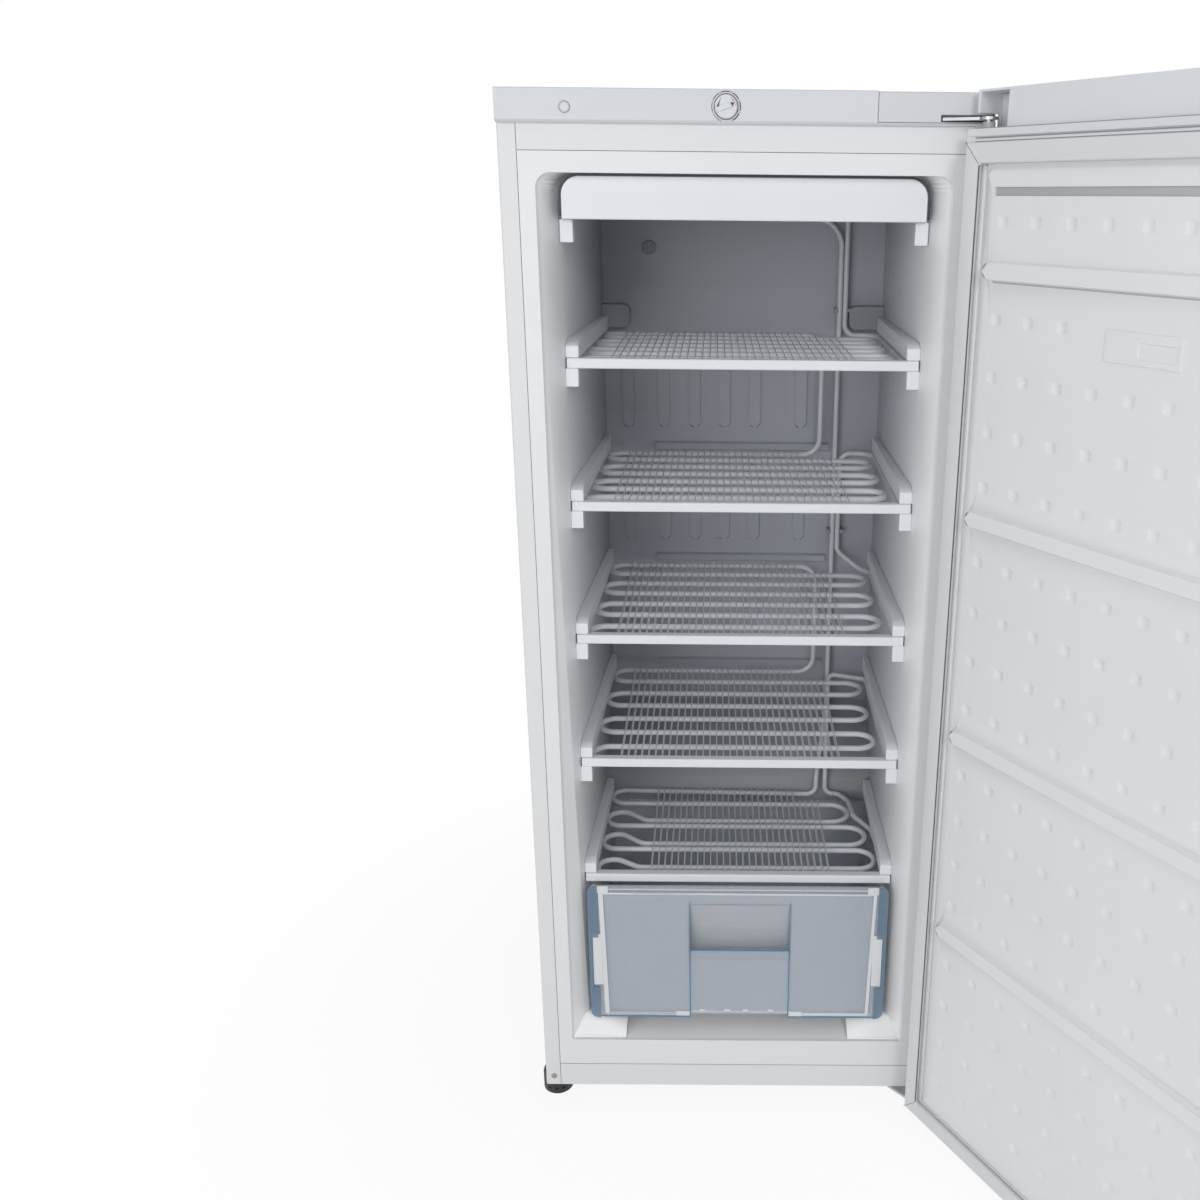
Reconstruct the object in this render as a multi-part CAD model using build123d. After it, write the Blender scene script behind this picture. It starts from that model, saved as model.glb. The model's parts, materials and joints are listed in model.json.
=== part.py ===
from build123d import *
import math
import os

# Upright freezer with one full-height door. All sizes in millimetres.
# The shapes below are drawn with y = 0 on the cabinet's front plane, +Y to the back, and z = 0
# on the cabinet's bottom edge. save() then moves them so that the origin is on the floor under
# the middle of the cabinet. Door pieces are drawn closed and turned open at the end.

# Cabinet
cabinet_width = 550.0
cabinet_height = 1331.0
cabinet_depth = 480.0
sheet = 1.0
wrap_corner_radius = 3.0
front_strip_width = 21.3
fascia_height = 35.5
top_rail_height = 28.5
bottom_rail_top = 36.2
bottom_rail_fold = 24.0
control_space_depth = 60.0
rail_lip = 14.0
screw_inset = 12.0
screw_height = 14.6
screw_head_radius = 4.0
screw_head_depth = 3.0
screw_radius = 1.8
screw_length = 12.0
screw_gap = 0.2

# Inner liner and the freezing space
liner_wall = 2.0
opening_side_rim = 40.4
opening_top_rim = 23.0
bevel_inset = 21.1
bevel_depth = 35.0
side_draft = 7.5
cavity_bottom = 78.0
cavity_depth = 392.0
corner_radius = 17.0
low_corner_radius = 3.5
hump_length = 94.0
hump_height = 345.0
hump_slope_rise = 95.0
foam_gap = 0.3
wall_gap = 0.05
compressor_space_depth = 135.0
compressor_space_height = 250.0

# Back wall relief of the liner, ribs counted from the left wall
rib_offsets = (34.5, 88.0, 134.5, 179.5, 225.5, 295.0)
rib_width = 17.0
rib_depth = 3.0
rib_lower_gap = 31.0
ledge_half_length = 132.0
ledge_height = 15.0
ledge_depth = 6.0
ledge_drop = 6.0
ledge_slope = 3.0

# Cold shelves
shelf_count = 5
top_shelf_drop = 209.1
low_shelf_top = 327.4
trim_height = 12.3
trim_depth = 12.0
trim_front = 34.5
trim_chamfer = 1.2
trim_end_gap = 2.0
tube_drop = 5.8
tube_radius = 3.75
tube_slot_gap = 0.3
front_tube_inset = 6.5
row_front = 84.9
row_back_gap = 25.7
row_count = 8
left_turn_gap = 14.5
right_turn_gap = 26.0
side_tube_gap = 13.7
back_tube_gap = 13.0
link_tube_inset = 49.6
drop_tube_inset = 82.3
riser_step = 8.2
side_bend_radius = 28.0
front_bend_radius = 14.0
link_bend_radius = 16.0
drop_bend_radius = 26.0
side_join_gap = 72.0
slant_rise = 22.0
slant_run = 15.0
slant_knee_run = 34.0
bend_play = 0.2

# Wires across the tubes
wire_radius = 0.75
wire_pitch = 9.25
wire_gap = 0.1
wire_lean = 1.2
wire_left_inset = 39.0
wire_right_inset = 51.5
low_wire_left_inset = 77.0
low_wire_right_inset = 62.0

# The lowest shelf stands in front of the hump and has its rows in close pairs. Rows and the
# side tube are placed by their share of the way from the front tube to the back row, and
# the side tube also by its gap to the wall.
low_row_shares = (0.085, 0.2875, 0.348, 0.5585, 0.624, 0.840)
low_back_row_gap = 9.0
low_row_skew = 4.0
low_turn_height = 41.0
low_turn_run = 28.0
low_sway_run = 30.0
low_sway_radius = 18.0
low_right_gaps = (19.5, 26.5, 46.5)
low_side_path = ((55.5, 0.988), (41.5, 0.891), (37.5, 0.702), (14.5, 0.528), (10.5, 0.359))
low_side_bends = (11.0, 28.0, 28.0, 28.0, 28.0)
low_link_gap = 76.5
low_link_run = 15.0
low_link_y_gap = 34.0
low_link_lean = 5.0
low_link_ride = 26.4
riser_foot_gap = 91.0
riser_foot_run = 18.5
riser_foot_bend = 15.0
tube_clear = 3.0

# Tubes through the back wall, their clips, the plug and the corner blocks
wall_tube_reach = 22.0
riser_top_drop = 1.0
riser_top_bend = 40.0
riser_exit_step = 56.0
clip_height = 6.0
clip_places = ((0, 27.0), (2, 46.0))
plug_inset = 69.0
plug_drop = 94.0
plug_radius = 10.0
corner_block_gaps = (40.5, 50.0)
corner_block_lift = 3.0
corner_block_height = 33.0
corner_block_depth = 22.0
corner_block_radius = 10.0

# Rails, lugs and the cover strip
rail_width = 16.5
rail_rise = 21.0
rail_front = 37.0
rail_back_gap = 24.0
low_rail_back_gap = 14.0
rail_nose = 14.0
rail_nose_height = 14.0
lug_height = 22.0
lug_front = 35.0
lug_depth = 18.0
lug_width = 15.5
strip_lug_front = 30.0
strip_lug_height = 26.0
strip_end_gap = 4.0
strip_drop = 3.0
strip_height = 47.0
strip_front = 20.0
strip_depth = 18.0
strip_wall = 3.0
strip_radius = 21.0

# Drawer
drawer_front_y = 20.0
drawer_side_gap = 4.7
drawer_front_thickness = 3.0
drawer_bottom = 102.0
drawer_front_top = 317.5
drawer_tub_top = 311.0
drawer_back_gap = 14.0
drawer_tub_inset = 7.8
drawer_draft = 2.0
drawer_wall = 2.5
drawer_rim = 3.0
drawer_corner_radius = 11.0
pull_half_width = 70.0
pull_center_x = 3.0
pull_lip_z = 214.7
pull_top_z = 288.0
pull_floor_z = 200.0
pull_depth = 24.0
drawer_foot_rise = 6.0
band_width = 13.5
band_thickness = 2.0
band_edge = 5.0
band_notch_shares = (0.24, 0.62)
runner_inner_x = 158.0
runner_front = 3.0
runner_lip = 2.0
runner_ramp = 23.0
runner_gap = 0.3

# Door, drawn closed
door_gap = 12.0
door_thickness = 46.0
door_bottom = 1.5
door_top_rise = 0.5
door_skin = 1.0
door_corner_radius = 5.0
skin_lip = 9.0
door_ledge_drop = 39.9
door_ledge_height = 8.2
upper_step = 11.9
cap_wall = 2.5
pocket_side_wall = 3.7
pocket_width = 42.7
gasket_outer_inset = 10.0
gasket_width = 22.5
gasket_top_gap = 5.8
gasket_bottom_z = 5.0
gasket_clear = 0.4
gasket_foot = 3.5
gasket_neck = 2.0
gasket_neck_inset = 6.0
panel_step = 4.0
panel_wall = 3.0
panel_inset_x = 36.0
panel_bottom_z = 28.0
panel_top_gap = 23.6
panel_flange = 2.0
panel_corner_radius = 8.0
door_rib_drop = 98.6
low_door_rib_top = 330.4
door_rib_count = 4
door_rib_height = 17.0
door_rib_depth = 10.0
door_rib_inset = 52.0
groove_drop = 26.2
groove_height = 9.0
groove_depth = 2.0
dimple_radius = 9.0
dimple_depth = 1.8
dimple_first_inset = 68.0
dimple_pitch_x = 47.8
dimple_pitch_z = 62.0
dimple_top_drop = 57.0
dimple_first_drop = 59.5
dimple_rows = 4
badge_left_inset = 223.0
badge_width = 92.0
badge_drop = 185.0
badge_height = 31.0
badge_rise = 1.2
grip_height = 200.0
grip_center_z = 760.0
grip_width = 24.0
grip_depth = 22.0

# Hinges
pin_inset_x = 12.0
pin_front = 30.5
pin_radius = 4.0
bush_gap = 0.3
bush_radius = 7.0
boss_wall = 2.5
boss_height = 14.0
rest_angle = 122.1
hinge_plate_rise = 5.4
hinge_plate_thickness = 3.0
hinge_nose_radius = 10.5
hinge_swing_radius = 26.2
hinge_screw_radius = 6.0
lower_plate_thickness = 4.0

# Control panel
fascia_proud = 8.0
fascia_bevel = 3.0
panel_shell_wall = 2.5
hinge_cover_width = 129.3
hinge_cover_rise = 3.3
hinge_cover_top_gap = 1.2
hinge_cover_proud = 0.6
panel_gap = 0.3
end_bevel_size = 6.0
slot_width = 58.4
slot_end_gap = 2.0
slot_rise = 4.1
slot_height = 7.1
knob_x = -21.0
knob_rise = 17.5
knob_radius = 12.3
knob_height = 5.0
knob_gap = 0.5
knob_bar_width = 5.0
knob_bar_angle = -20.0
shaft_radius = 3.0
shaft_gap = 0.4
thermostat_half_width = 22.0
thermostat_half_height = 13.0
thermostat_front = 3.3
thermostat_back = 34.0
ring_outer = 15.3
ring_inner = 12.9
ring_rise = 0.6
ring_gap_angle = 50.0
lamp_inset = 77.3
lamp_rise = 15.8
lamp_radius = 6.2
lamp_rim = 1.2

# Feet
foot_height = 35.0
foot_radius = 21.5
foot_inset_x = 11.0
foot_inset_y = 40.0
foot_stud_radius = 5.0
foot_stud_top = 14.0
foot_plate_size = 56.0
foot_gap = 0.5
foot_flutes = 12
foot_flute_radius = 3.4
foot_rim_height = 9.0

# Cooling set at the back
condenser_stand_off = 18.0
condenser_tube_radius = 2.6
condenser_inset = 50.0
condenser_bottom = 330.0
condenser_top_gap = 151.0
condenser_rows = 18
condenser_wire_pitch = 22.0
condenser_wire_inset = 35.0
condenser_wire_over = 12.0
strap_width = 14.0
strap_thickness = 1.5
strap_stub_shares = (0.02, 0.5, 0.98)
compressor_radius = 58.0
compressor_height = 150.0
compressor_x = 70.0
compressor_set_back = 4.0
seam_height = 4.0
seam_rim = 3.0
plate_half_length = 80.0
plate_half_width = 38.0
plate_thickness = 3.0
mount_x = 68.0
mount_y = 28.0
mount_height = 16.0
mount_radius = 9.0
mount_hole_radius = 6.0
stub_radius = 3.2
stub_rise = 22.0
stub_offsets = (-30.0, -12.0)
starter_depth = 46.0
starter_size = 52.0
gland_radius = 7.0
gland_length = 12.0
drier_offset = 128.0
drier_wall_gap = 40.0
drier_radius = 9.0
drier_bottom = 60.0
drier_length = 90.0
drier_tube_radius = 2.4
drier_tail = 20.0
drier_rise = 30.0
drier_strap_top = 110.0
drier_strap_height = 14.0

# Places that follow from the sizes above
half_width = cabinet_width / 2
seam_x = half_width - front_strip_width
inner_x = half_width - sheet
fascia_bottom = cabinet_height - fascia_height
top_rail_bottom = fascia_bottom - top_rail_height
opening_half_width = half_width - opening_side_rim
cavity_front_half_width = opening_half_width - bevel_inset
cavity_back_half_width = cavity_front_half_width - side_draft
cavity_top = top_rail_bottom - opening_top_rim
hump_depth = cavity_depth - hump_length
hump_slope = hump_slope_rise / hump_length
compressor_y = cabinet_depth - compressor_space_depth / 2 + compressor_set_back
foot_x = half_width - foot_inset_x

shelf_top = cavity_top - top_shelf_drop
shelf_pitch = (shelf_top - low_shelf_top) / (shelf_count - 1)
trim_tops = [shelf_top - i * shelf_pitch for i in range(shelf_count)]
trim_half_width = cavity_front_half_width - trim_end_gap
tube_planes = [top - tube_drop for top in trim_tops]
low_plane = tube_planes[-1]
front_tube_y = trim_front + front_tube_inset
row_back = cavity_depth - row_back_gap
row_pitch = (row_back - row_front) / (row_count - 2)
rows = [front_tube_y] + [row_front + i * row_pitch for i in range(row_count - 1)]
left_turn_x = left_turn_gap - cavity_front_half_width
right_turn_x = cavity_front_half_width - right_turn_gap
side_tube_x = cavity_front_half_width - side_tube_gap
back_tube_y = cavity_depth - back_tube_gap
side_join_y = cavity_depth - side_join_gap
link_tube_x = side_tube_x - link_tube_inset
drop_tube_x = side_tube_x - drop_tube_inset
riser_x = link_tube_x - riser_step
low_back_y = hump_depth - low_back_row_gap
low_link_x = cavity_front_half_width - low_link_gap
low_front_y = low_back_y + 1.0
riser_foot_x = cavity_front_half_width - riser_foot_gap
row_end_x = drop_tube_x - drop_bend_radius
low_turn_x = left_turn_x + 1.0

strip_top = cavity_top - strip_drop
strip_bottom = strip_top - strip_height
strip_half_width = cavity_front_half_width - strip_end_gap
top_coil_plane = strip_bottom + tube_drop + tube_radius
riser_top = strip_bottom - riser_top_drop
riser_exit_x = riser_x - riser_exit_step
clip_bottoms = [trim_tops[shelf] + rise for shelf, rise in clip_places]

drawer_front_half_width = cavity_front_half_width - drawer_side_gap
drawer_top_half_width = drawer_front_half_width - drawer_tub_inset
drawer_back_y = hump_depth - drawer_back_gap

door_top = cabinet_height + door_top_rise
door_inner_y = -door_gap
door_outer_y = -door_gap - door_thickness
step_y = door_inner_y - upper_step
ledge_top_z = door_top - door_ledge_drop
ledge_bottom_z = ledge_top_z - door_ledge_height
gasket_top_z = ledge_bottom_z - gasket_top_gap
panel_top_z = gasket_top_z - panel_top_gap
panel_face_y = door_inner_y + panel_step
groove_z = panel_top_z - groove_drop
dimple_top_row_z = panel_top_z - dimple_top_drop
door_rib_top_z = panel_top_z - door_rib_drop
door_rib_pitch = (door_rib_top_z - low_door_rib_top) / (door_rib_count - 1)
badge_bottom_z = panel_top_z - badge_drop
pin_x = half_width - pin_inset_x
pin_y = -pin_front
hinge_plate_z = fascia_bottom + hinge_plate_rise

hinge_cover_left = half_width - hinge_cover_width
hinge_cover_bottom = fascia_bottom + hinge_cover_rise
hinge_cover_top = cabinet_height - hinge_cover_top_gap
slot_right = half_width - slot_end_gap
slot_left = slot_right - slot_width
slot_bottom = fascia_bottom + slot_rise
slot_top = slot_bottom + slot_height
knob_z = fascia_bottom + knob_rise
lamp_x = lamp_inset - half_width
lamp_z = fascia_bottom + lamp_rise

condenser_y = cabinet_depth + condenser_stand_off
condenser_half_width = half_width - condenser_inset
condenser_top = cabinet_height - condenser_top_gap
condenser_pitch = (condenser_top - condenser_bottom) / (condenser_rows - 1)

origin = Pos(0, -cabinet_depth / 2, foot_height)
door_turn = Pos(pin_x, pin_y, 0) * Rot(0, 0, rest_angle) * Pos(-pin_x, -pin_y, 0)

os.makedirs("parts", exist_ok=True)


def save(name, shape, turned=False):
    if turned:
        shape = door_turn * shape
    shape = origin * shape
    solids = shape.solids()
    shape = solids[0] if len(solids) == 1 else Compound(children=list(solids))
    shape.label = name
    export_step(shape, f"parts/{name}.step")


def group(shapes):
    """All solids of several shapes as one compound."""
    return Compound(children=[solid for shape in shapes for solid in shape.solids()])


def block(x0, x1, y0, y1, z0, z1):
    size = (x1 - x0, y1 - y0, z1 - z0)
    return Pos((x0 + x1) / 2, (y0 + y1) / 2, (z0 + z1) / 2) * Box(*size)


def rod(x, y, z0, z1, radius):
    return Pos(x, y, (z0 + z1) / 2) * Cylinder(radius, z1 - z0)


def rod_y(x, z, y0, y1, radius):
    return Pos(x, (y0 + y1) / 2, z) * Rot(90, 0, 0) * Cylinder(radius, y1 - y0)


def both_sides(shape):
    return [shape, mirror(shape, Plane.YZ)]


def tube(points, radius, bend):
    path = FilletPolyline(*points, radius=bend)
    start = Plane(origin=path @ 0, z_dir=path % 0)
    return sweep(start * Circle(radius), path=path)


def prism_x(points_yz, x0, x1):
    face = make_face(Polyline(*[(0, y, z) for y, z in points_yz], close=True))
    return Pos(x0, 0, 0) * extrude(face, amount=x1 - x0, dir=(1, 0, 0))


# Freezing space
def cavity_section(y, half, grow):
    """Upright outline with round top corners and tight bottom corners."""
    height = cavity_top - cavity_bottom + 2 * grow
    middle = (cavity_top + cavity_bottom) / 2
    plane = Plane(origin=(0, y, middle), x_dir=(1, 0, 0), z_dir=(0, -1, 0))
    section = plane * Rectangle(2 * (half + grow), height)
    section = fillet(section.vertices().group_by(Axis.Z)[-1], corner_radius + grow)
    return fillet(section.vertices().group_by(Axis.Z)[0], low_corner_radius + grow)


def cavity(grow):
    """The hollow, grown outwards by grow, from the front plane to the back wall."""
    middle = cavity_section(bevel_depth, cavity_front_half_width, grow)
    mouth = loft([cavity_section(0, opening_half_width, grow), middle])
    room = loft([middle, cavity_section(cavity_depth + grow, cavity_back_half_width, grow)])
    return mouth + room - hump(grow)


def hump(grow):
    """The raised step over the compressor space, moved back by grow."""
    low = cavity_bottom - 4 * liner_wall
    back = cavity_depth + 4 * liner_wall
    y0 = hump_depth + grow
    z0 = hump_height - grow
    z1 = z0 + hump_slope * (back - y0)
    points = [(y0, low), (y0, z0), (back, z1), (back, low)]
    return prism_x(points, -half_width, half_width)


def back_relief():
    """Upright ribs between the shelves and a ledge behind each shelf."""
    parts = []
    sunk = liner_wall / 2
    for upper, lower in zip(trim_tops[:3], trim_tops[1:4]):
        z0 = lower + rib_lower_gap
        z1 = upper - ledge_drop - ledge_height - ledge_depth
        for offset in rib_offsets:
            x = offset - cavity_back_half_width
            place = (x, cavity_depth + sunk, (z0 + z1) / 2)
            plane = Plane(origin=place, x_dir=(1, 0, 0), z_dir=(0, -1, 0))
            shape = plane * RectangleRounded(rib_width, z1 - z0, rib_width * 0.45)
            parts.append(extrude(shape, amount=rib_depth + sunk))
    for top in trim_tops[1:4]:
        z1 = top + ledge_height - ledge_drop
        z0 = z1 - ledge_height
        y0 = cavity_depth - ledge_depth
        y1 = cavity_depth + sunk
        points = [(y1, z0), (y0, z0 + ledge_slope), (y0, z1 - ledge_slope), (y1, z1)]
        parts.append(prism_x(points, -ledge_half_length, ledge_half_length))
    return parts


def inner_liner():
    flange = block(-seam_x, seam_x, 0, liner_wall, bottom_rail_top, top_rail_bottom)
    # The side walls run past the flange only inside it, so its front stays one flat face
    return flange + cavity(liner_wall) - cavity(0) + back_relief() - wall_tube_holes()


def liner_core():
    """What the liner takes out of the foam."""
    rim = foam_gap + liner_wall
    x = seam_x + rim
    flange = block(-x, x, -1, rim, bottom_rail_top - rim, top_rail_bottom + rim)
    return [flange, cavity(rim)]


# Cabinet
def screw_places():
    return [side * (half_width - screw_inset) for side in (-1, 1)]


def cabinet_wrap():
    """Two sides with rolled front strips, and the top."""

    def outline(inset):
        x = half_width - inset
        y = cabinet_depth
        corners = ((-x, y, 0), (-x, inset, 0), (x, inset, 0), (x, y, 0))
        line = FilletPolyline(*corners, radius=wrap_corner_radius - inset)
        return make_face(line + Line((x, y, 0), (-x, y, 0)))

    shell = extrude(outline(0), amount=cabinet_height)
    shell -= extrude(outline(sheet), amount=cabinet_height)
    shell -= block(-seam_x, seam_x, -1, sheet + 1, -1, cabinet_height + 1)
    above = cabinet_height + 1
    shell -= block(-half_width, half_width, -1, wrap_corner_radius, fascia_bottom, above)
    for x in screw_places():
        shell -= rod_y(x, screw_height, -1, sheet + 1, screw_head_radius + screw_gap)
    top_x = half_width - sheet / 2
    top_z = cabinet_height - sheet
    top = block(-top_x, top_x, wrap_corner_radius, cabinet_depth, top_z, cabinet_height)
    return shell + top


def corner_screws():
    """Flush screws through the lower ends of the wrap's front strips."""
    parts = []
    for x in screw_places():
        head = rod_y(x, screw_height, 0, screw_head_depth, screw_head_radius)
        head += rod_y(x, screw_height, screw_head_depth, screw_length, screw_radius)
        for angle in (45, -45):
            cross = Rot(0, angle, 0) * Box(1.4 * screw_head_radius, 2 * sheet, 0.9)
            head -= Pos(x, 0, screw_height) * cross
        parts.append(head)
    return group(parts)


def top_rail():
    """Front strip over the opening, folded back as the floor and rear of the control space."""
    z_floor = fascia_bottom - sheet
    top = cabinet_height - sheet
    y_back = control_space_depth
    parts = block(-seam_x, seam_x, 0, sheet, top_rail_bottom, fascia_bottom)
    parts += block(-seam_x, seam_x, 0, y_back, z_floor, fascia_bottom)
    parts += block(-inner_x, inner_x, wrap_corner_radius, y_back, z_floor, fascia_bottom)
    parts += block(-inner_x, inner_x, y_back - sheet, y_back, z_floor, top)
    return parts


def bottom_rail():
    front = block(-seam_x, seam_x, 0, sheet, 0, bottom_rail_top)
    return front + block(-seam_x, seam_x, sheet, bottom_rail_fold, 0, sheet)


def stud_holes(radius, z0, z1):
    depths = (foot_inset_y, cabinet_depth - foot_inset_y)
    return [rod(side * foot_x, y, z0, z1, radius) for side in (-1, 1) for y in depths]


def base_plate():
    """Bottom sheet, then up and back over the compressor space."""
    y_wall = cabinet_depth - compressor_space_depth
    y_back = cabinet_depth - sheet
    z_roof = compressor_space_height
    parts = block(-inner_x, inner_x, bottom_rail_fold, y_wall, 0, sheet)
    parts += block(-inner_x, inner_x, y_wall - sheet, y_wall, 0, z_roof)
    parts += block(-inner_x, inner_x, y_wall - sheet, y_back, z_roof - sheet, z_roof)
    return parts - stud_holes(foot_stud_radius + foot_gap, -1, 2 * sheet)


def compressor_rail():
    """Cross plate with upturned edges that carries the compressor and the rear feet."""
    y0 = cabinet_depth - compressor_space_depth
    y1 = cabinet_depth - sheet
    parts = block(-inner_x, inner_x, y0, y1, 0, 2 * sheet)
    parts += block(-inner_x, inner_x, y1 - 2 * sheet, y1, 0, rail_lip)
    return parts - stud_holes(foot_stud_radius + foot_gap, -1, 3 * sheet)


def back_panel():
    y0 = cabinet_depth - sheet
    z0 = compressor_space_height - sheet
    return block(-inner_x, inner_x, y0, cabinet_depth, z0, cabinet_height - sheet)


def cabinet_foam():
    y_back = cabinet_depth - sheet
    y_wall = cabinet_depth - compressor_space_depth
    z_floor = fascia_bottom - sheet
    z_roof = compressor_space_height
    body = block(-inner_x, inner_x, sheet + foam_gap, y_back, sheet, cabinet_height - sheet)
    body -= block(-half_width, half_width, -1, control_space_depth, z_floor, cabinet_height)
    body -= block(-half_width, half_width, y_wall - sheet, cabinet_depth, 0, z_roof)
    # Rolled corners of the wrap, its screws and the studs of the front feet
    r = wrap_corner_radius
    for side in (-1, 1):
        x = side * inner_x
        body -= block(x - r, x + r, 0, r + 1, 0, cabinet_height)
    for x in screw_places():
        body -= rod_y(x, screw_height, 0, screw_head_depth + foam_gap, screw_head_radius + foam_gap)
        body -= rod_y(x, screw_height, 0, screw_length + foam_gap, screw_radius + foam_gap)
    body -= block(-half_width, half_width, 0, bottom_rail_fold + foam_gap, 0, 2 * sheet)
    body -= stud_holes(foot_stud_radius + 3, 0, foot_stud_top + 10)
    for piece in liner_core():
        body -= piece
    return body - wall_tube_holes()


# Shelves
def shelf_coil(z, from_back=True):
    """Side tube along the right wall, front row, then to and fro to the back row."""
    if from_back:
        start_x = link_tube_x + link_bend_radius
        points = [(start_x, back_tube_y, z), (side_tube_x, back_tube_y, z)]
        bends = [side_bend_radius]
    else:
        points = [(side_tube_x, side_join_y, z)]
        bends = []
    points.append((side_tube_x, rows[0], z))
    bends.append(front_bend_radius)
    x = left_turn_x
    for near, far in zip(rows, rows[1:]):
        points += [(x, near, z), (x, far, z)]
        bends += [(far - near) / 2 - bend_play] * 2
        x = right_turn_x if x == left_turn_x else left_turn_x
    points.append((row_end_x, rows[-1], z))
    return tube(points, tube_radius, bends)


def low_y(share):
    return front_tube_y + share * (low_back_y - front_tube_y)


def low_back_at(x):
    """The low shelf's back row runs a little askew."""
    share = (x - low_turn_x) / (riser_foot_x - low_turn_x)
    return low_back_y + low_row_skew * (1 - 2 * share)


def low_side_points():
    wall_x = cavity_front_half_width
    return [(wall_x - gap, low_y(share), low_plane) for gap, share in low_side_path]


def low_link_end():
    """Where the link tube hands over to the low shelf's tube."""
    x, y, z = low_side_points()[0]
    step = low_link_run / math.hypot(x - low_link_x, y - low_front_y)
    return (low_link_x + step * (x - low_link_x), low_front_y + step * (y - low_front_y), z)


def low_row_end():
    x = riser_foot_x - riser_foot_run
    return (x, low_back_at(x), low_plane)


def low_shelf_coil():
    z = low_plane
    y = [front_tube_y] + [low_y(share) for share in low_row_shares] + [low_back_at(low_turn_x)]
    points = [low_link_end()] + low_side_points()
    points.append((points[-1][0], y[0], z))
    bends = list(low_side_bends) + [front_bend_radius]
    wide_x = low_turn_x + low_turn_run
    sway_x = wide_x + low_sway_run
    for pair, right_gap in enumerate(low_right_gaps):
        near, far, after = y[2 * pair : 2 * pair + 3]
        wide = near + low_turn_height
        points += [(low_turn_x, near, z), (low_turn_x, wide, z)]
        points += [(wide_x, wide, z), (sway_x, far, z)]
        bends += [low_turn_height / 2 - bend_play] * 2 + [low_sway_radius] * 2
        right = cavity_front_half_width - right_gap
        points += [(right, far, z), (right, after, z)]
        bends += [(after - far) / 2 - bend_play] * 2
    points += [(low_turn_x, y[6], z), (low_turn_x, y[7], z)]
    bends += [(y[7] - y[6]) / 2 - 1] * 2
    points.append(low_row_end())
    return tube(points, tube_radius, bends)


def shelf_wires(z, left_x, right_x, back_at, short_y):
    """Two layers of wires over and under the tubes, leaning a little to the left."""
    wires = []
    offset = tube_radius + wire_radius + wire_gap
    y0 = trim_front + trim_depth + tube_slot_gap
    count = round((right_x - left_x) / wire_pitch) + 1
    for i in range(count):
        x = left_x + i * wire_pitch
        back_x = x - math.tan(math.radians(wire_lean)) * (back_at(x) - y0)
        # The last wires stop short of the bend at the back row's end
        y1 = (back_at(back_x) if back_x < row_end_x else short_y) + tube_radius
        wire = rod_y(0, 0, 0, y1 - y0, wire_radius)
        for side in (-1, 1):
            wires.append(Pos(x, y0, z + side * offset) * Rot(0, 0, wire_lean) * wire)
    return wires


def shelf_back_at(x):
    return rows[-1]


def all_shelf_wires():
    wires = []
    left_x = left_turn_x + wire_left_inset
    right_x = right_turn_x - wire_right_inset
    for z in tube_planes[:-1]:
        wires += shelf_wires(z, left_x, right_x, shelf_back_at, rows[-2])
    left_x = left_turn_x + low_wire_left_inset
    right_x = right_turn_x - low_wire_right_inset
    short_y = low_y(low_row_shares[-1])
    return wires + shelf_wires(low_plane, left_x, right_x, low_back_at, short_y)


def shelf_trim(top):
    """Front strip with a slot along its back for the front tube."""
    y1 = trim_front + trim_depth
    strip = block(-trim_half_width, trim_half_width, trim_front, y1, top - trim_height, top)
    strip = chamfer(strip.edges().filter_by(Axis.X).group_by(Axis.Y)[0], trim_chamfer)
    z = top - tube_drop
    reach = tube_radius + tube_slot_gap
    slot_end = trim_half_width + 1
    return strip - block(-slot_end, slot_end, rows[0] - reach, y1 + 1, z - reach, z + reach)


def side_rail(top, front, back):
    """Bar on the right wall above a shelf, sloped at its front."""
    z0 = top
    z1 = top + rail_rise
    nose = [(front, z0), (front, z0 + rail_nose_height), (front + rail_nose, z1)]
    rail_x = cavity_front_half_width - rail_width
    bar = prism_x(nose + [(back, z1), (back, z0)], rail_x, cavity_front_half_width)
    return bar & cavity(-wall_gap)


def side_rails():
    rails = []
    for top in trim_tops[:-1]:
        rails += both_sides(side_rail(top, rail_front, cavity_depth - rail_back_gap))
    rails += both_sides(side_rail(trim_tops[-1], rail_front, hump_depth - low_rail_back_gap))
    top = top_coil_plane + tube_drop
    behind = strip_front + strip_depth + 1
    return rails + both_sides(side_rail(top, behind, cavity_depth - rail_back_gap))


def support_lug(top, front, height):
    lug_x = cavity_front_half_width - lug_width
    bar = block(lug_x, cavity_front_half_width, front, front + lug_depth, top - height, top)
    return bar & cavity(-wall_gap)


def support_lugs():
    lugs = []
    for top in trim_tops[:-1]:
        lugs += both_sides(support_lug(top - trim_height, lug_front, lug_height))
    return lugs + both_sides(support_lug(strip_bottom, strip_lug_front, strip_lug_height))


def cover_strip():
    def shape(inset):
        width = 2 * (strip_half_width - inset)
        place = (0, strip_front + strip_depth, (strip_top + strip_bottom) / 2 - inset)
        plane = Plane(origin=place, x_dir=(1, 0, 0), z_dir=(0, -1, 0))
        sketch = plane * Rectangle(width, strip_height)
        return fillet(sketch.vertices().group_by(Axis.Z)[-1], strip_radius - inset)

    outer = extrude(shape(0), amount=strip_depth)
    inner = extrude(shape(strip_wall), amount=strip_depth - strip_wall)
    outer = chamfer(outer.faces().sort_by(Axis.Y)[0].edges(), 1.0)
    return outer - inner


def straight_link(high, low):
    """From the back of one shelf straight down to the next."""
    x0 = link_tube_x + link_bend_radius
    x = link_tube_x
    y = back_tube_y
    points = [(x0, y, high), (x, y, high), (x, y, low), (x0, y, low)]
    return tube(points, tube_radius, link_bend_radius - bend_play)


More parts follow.
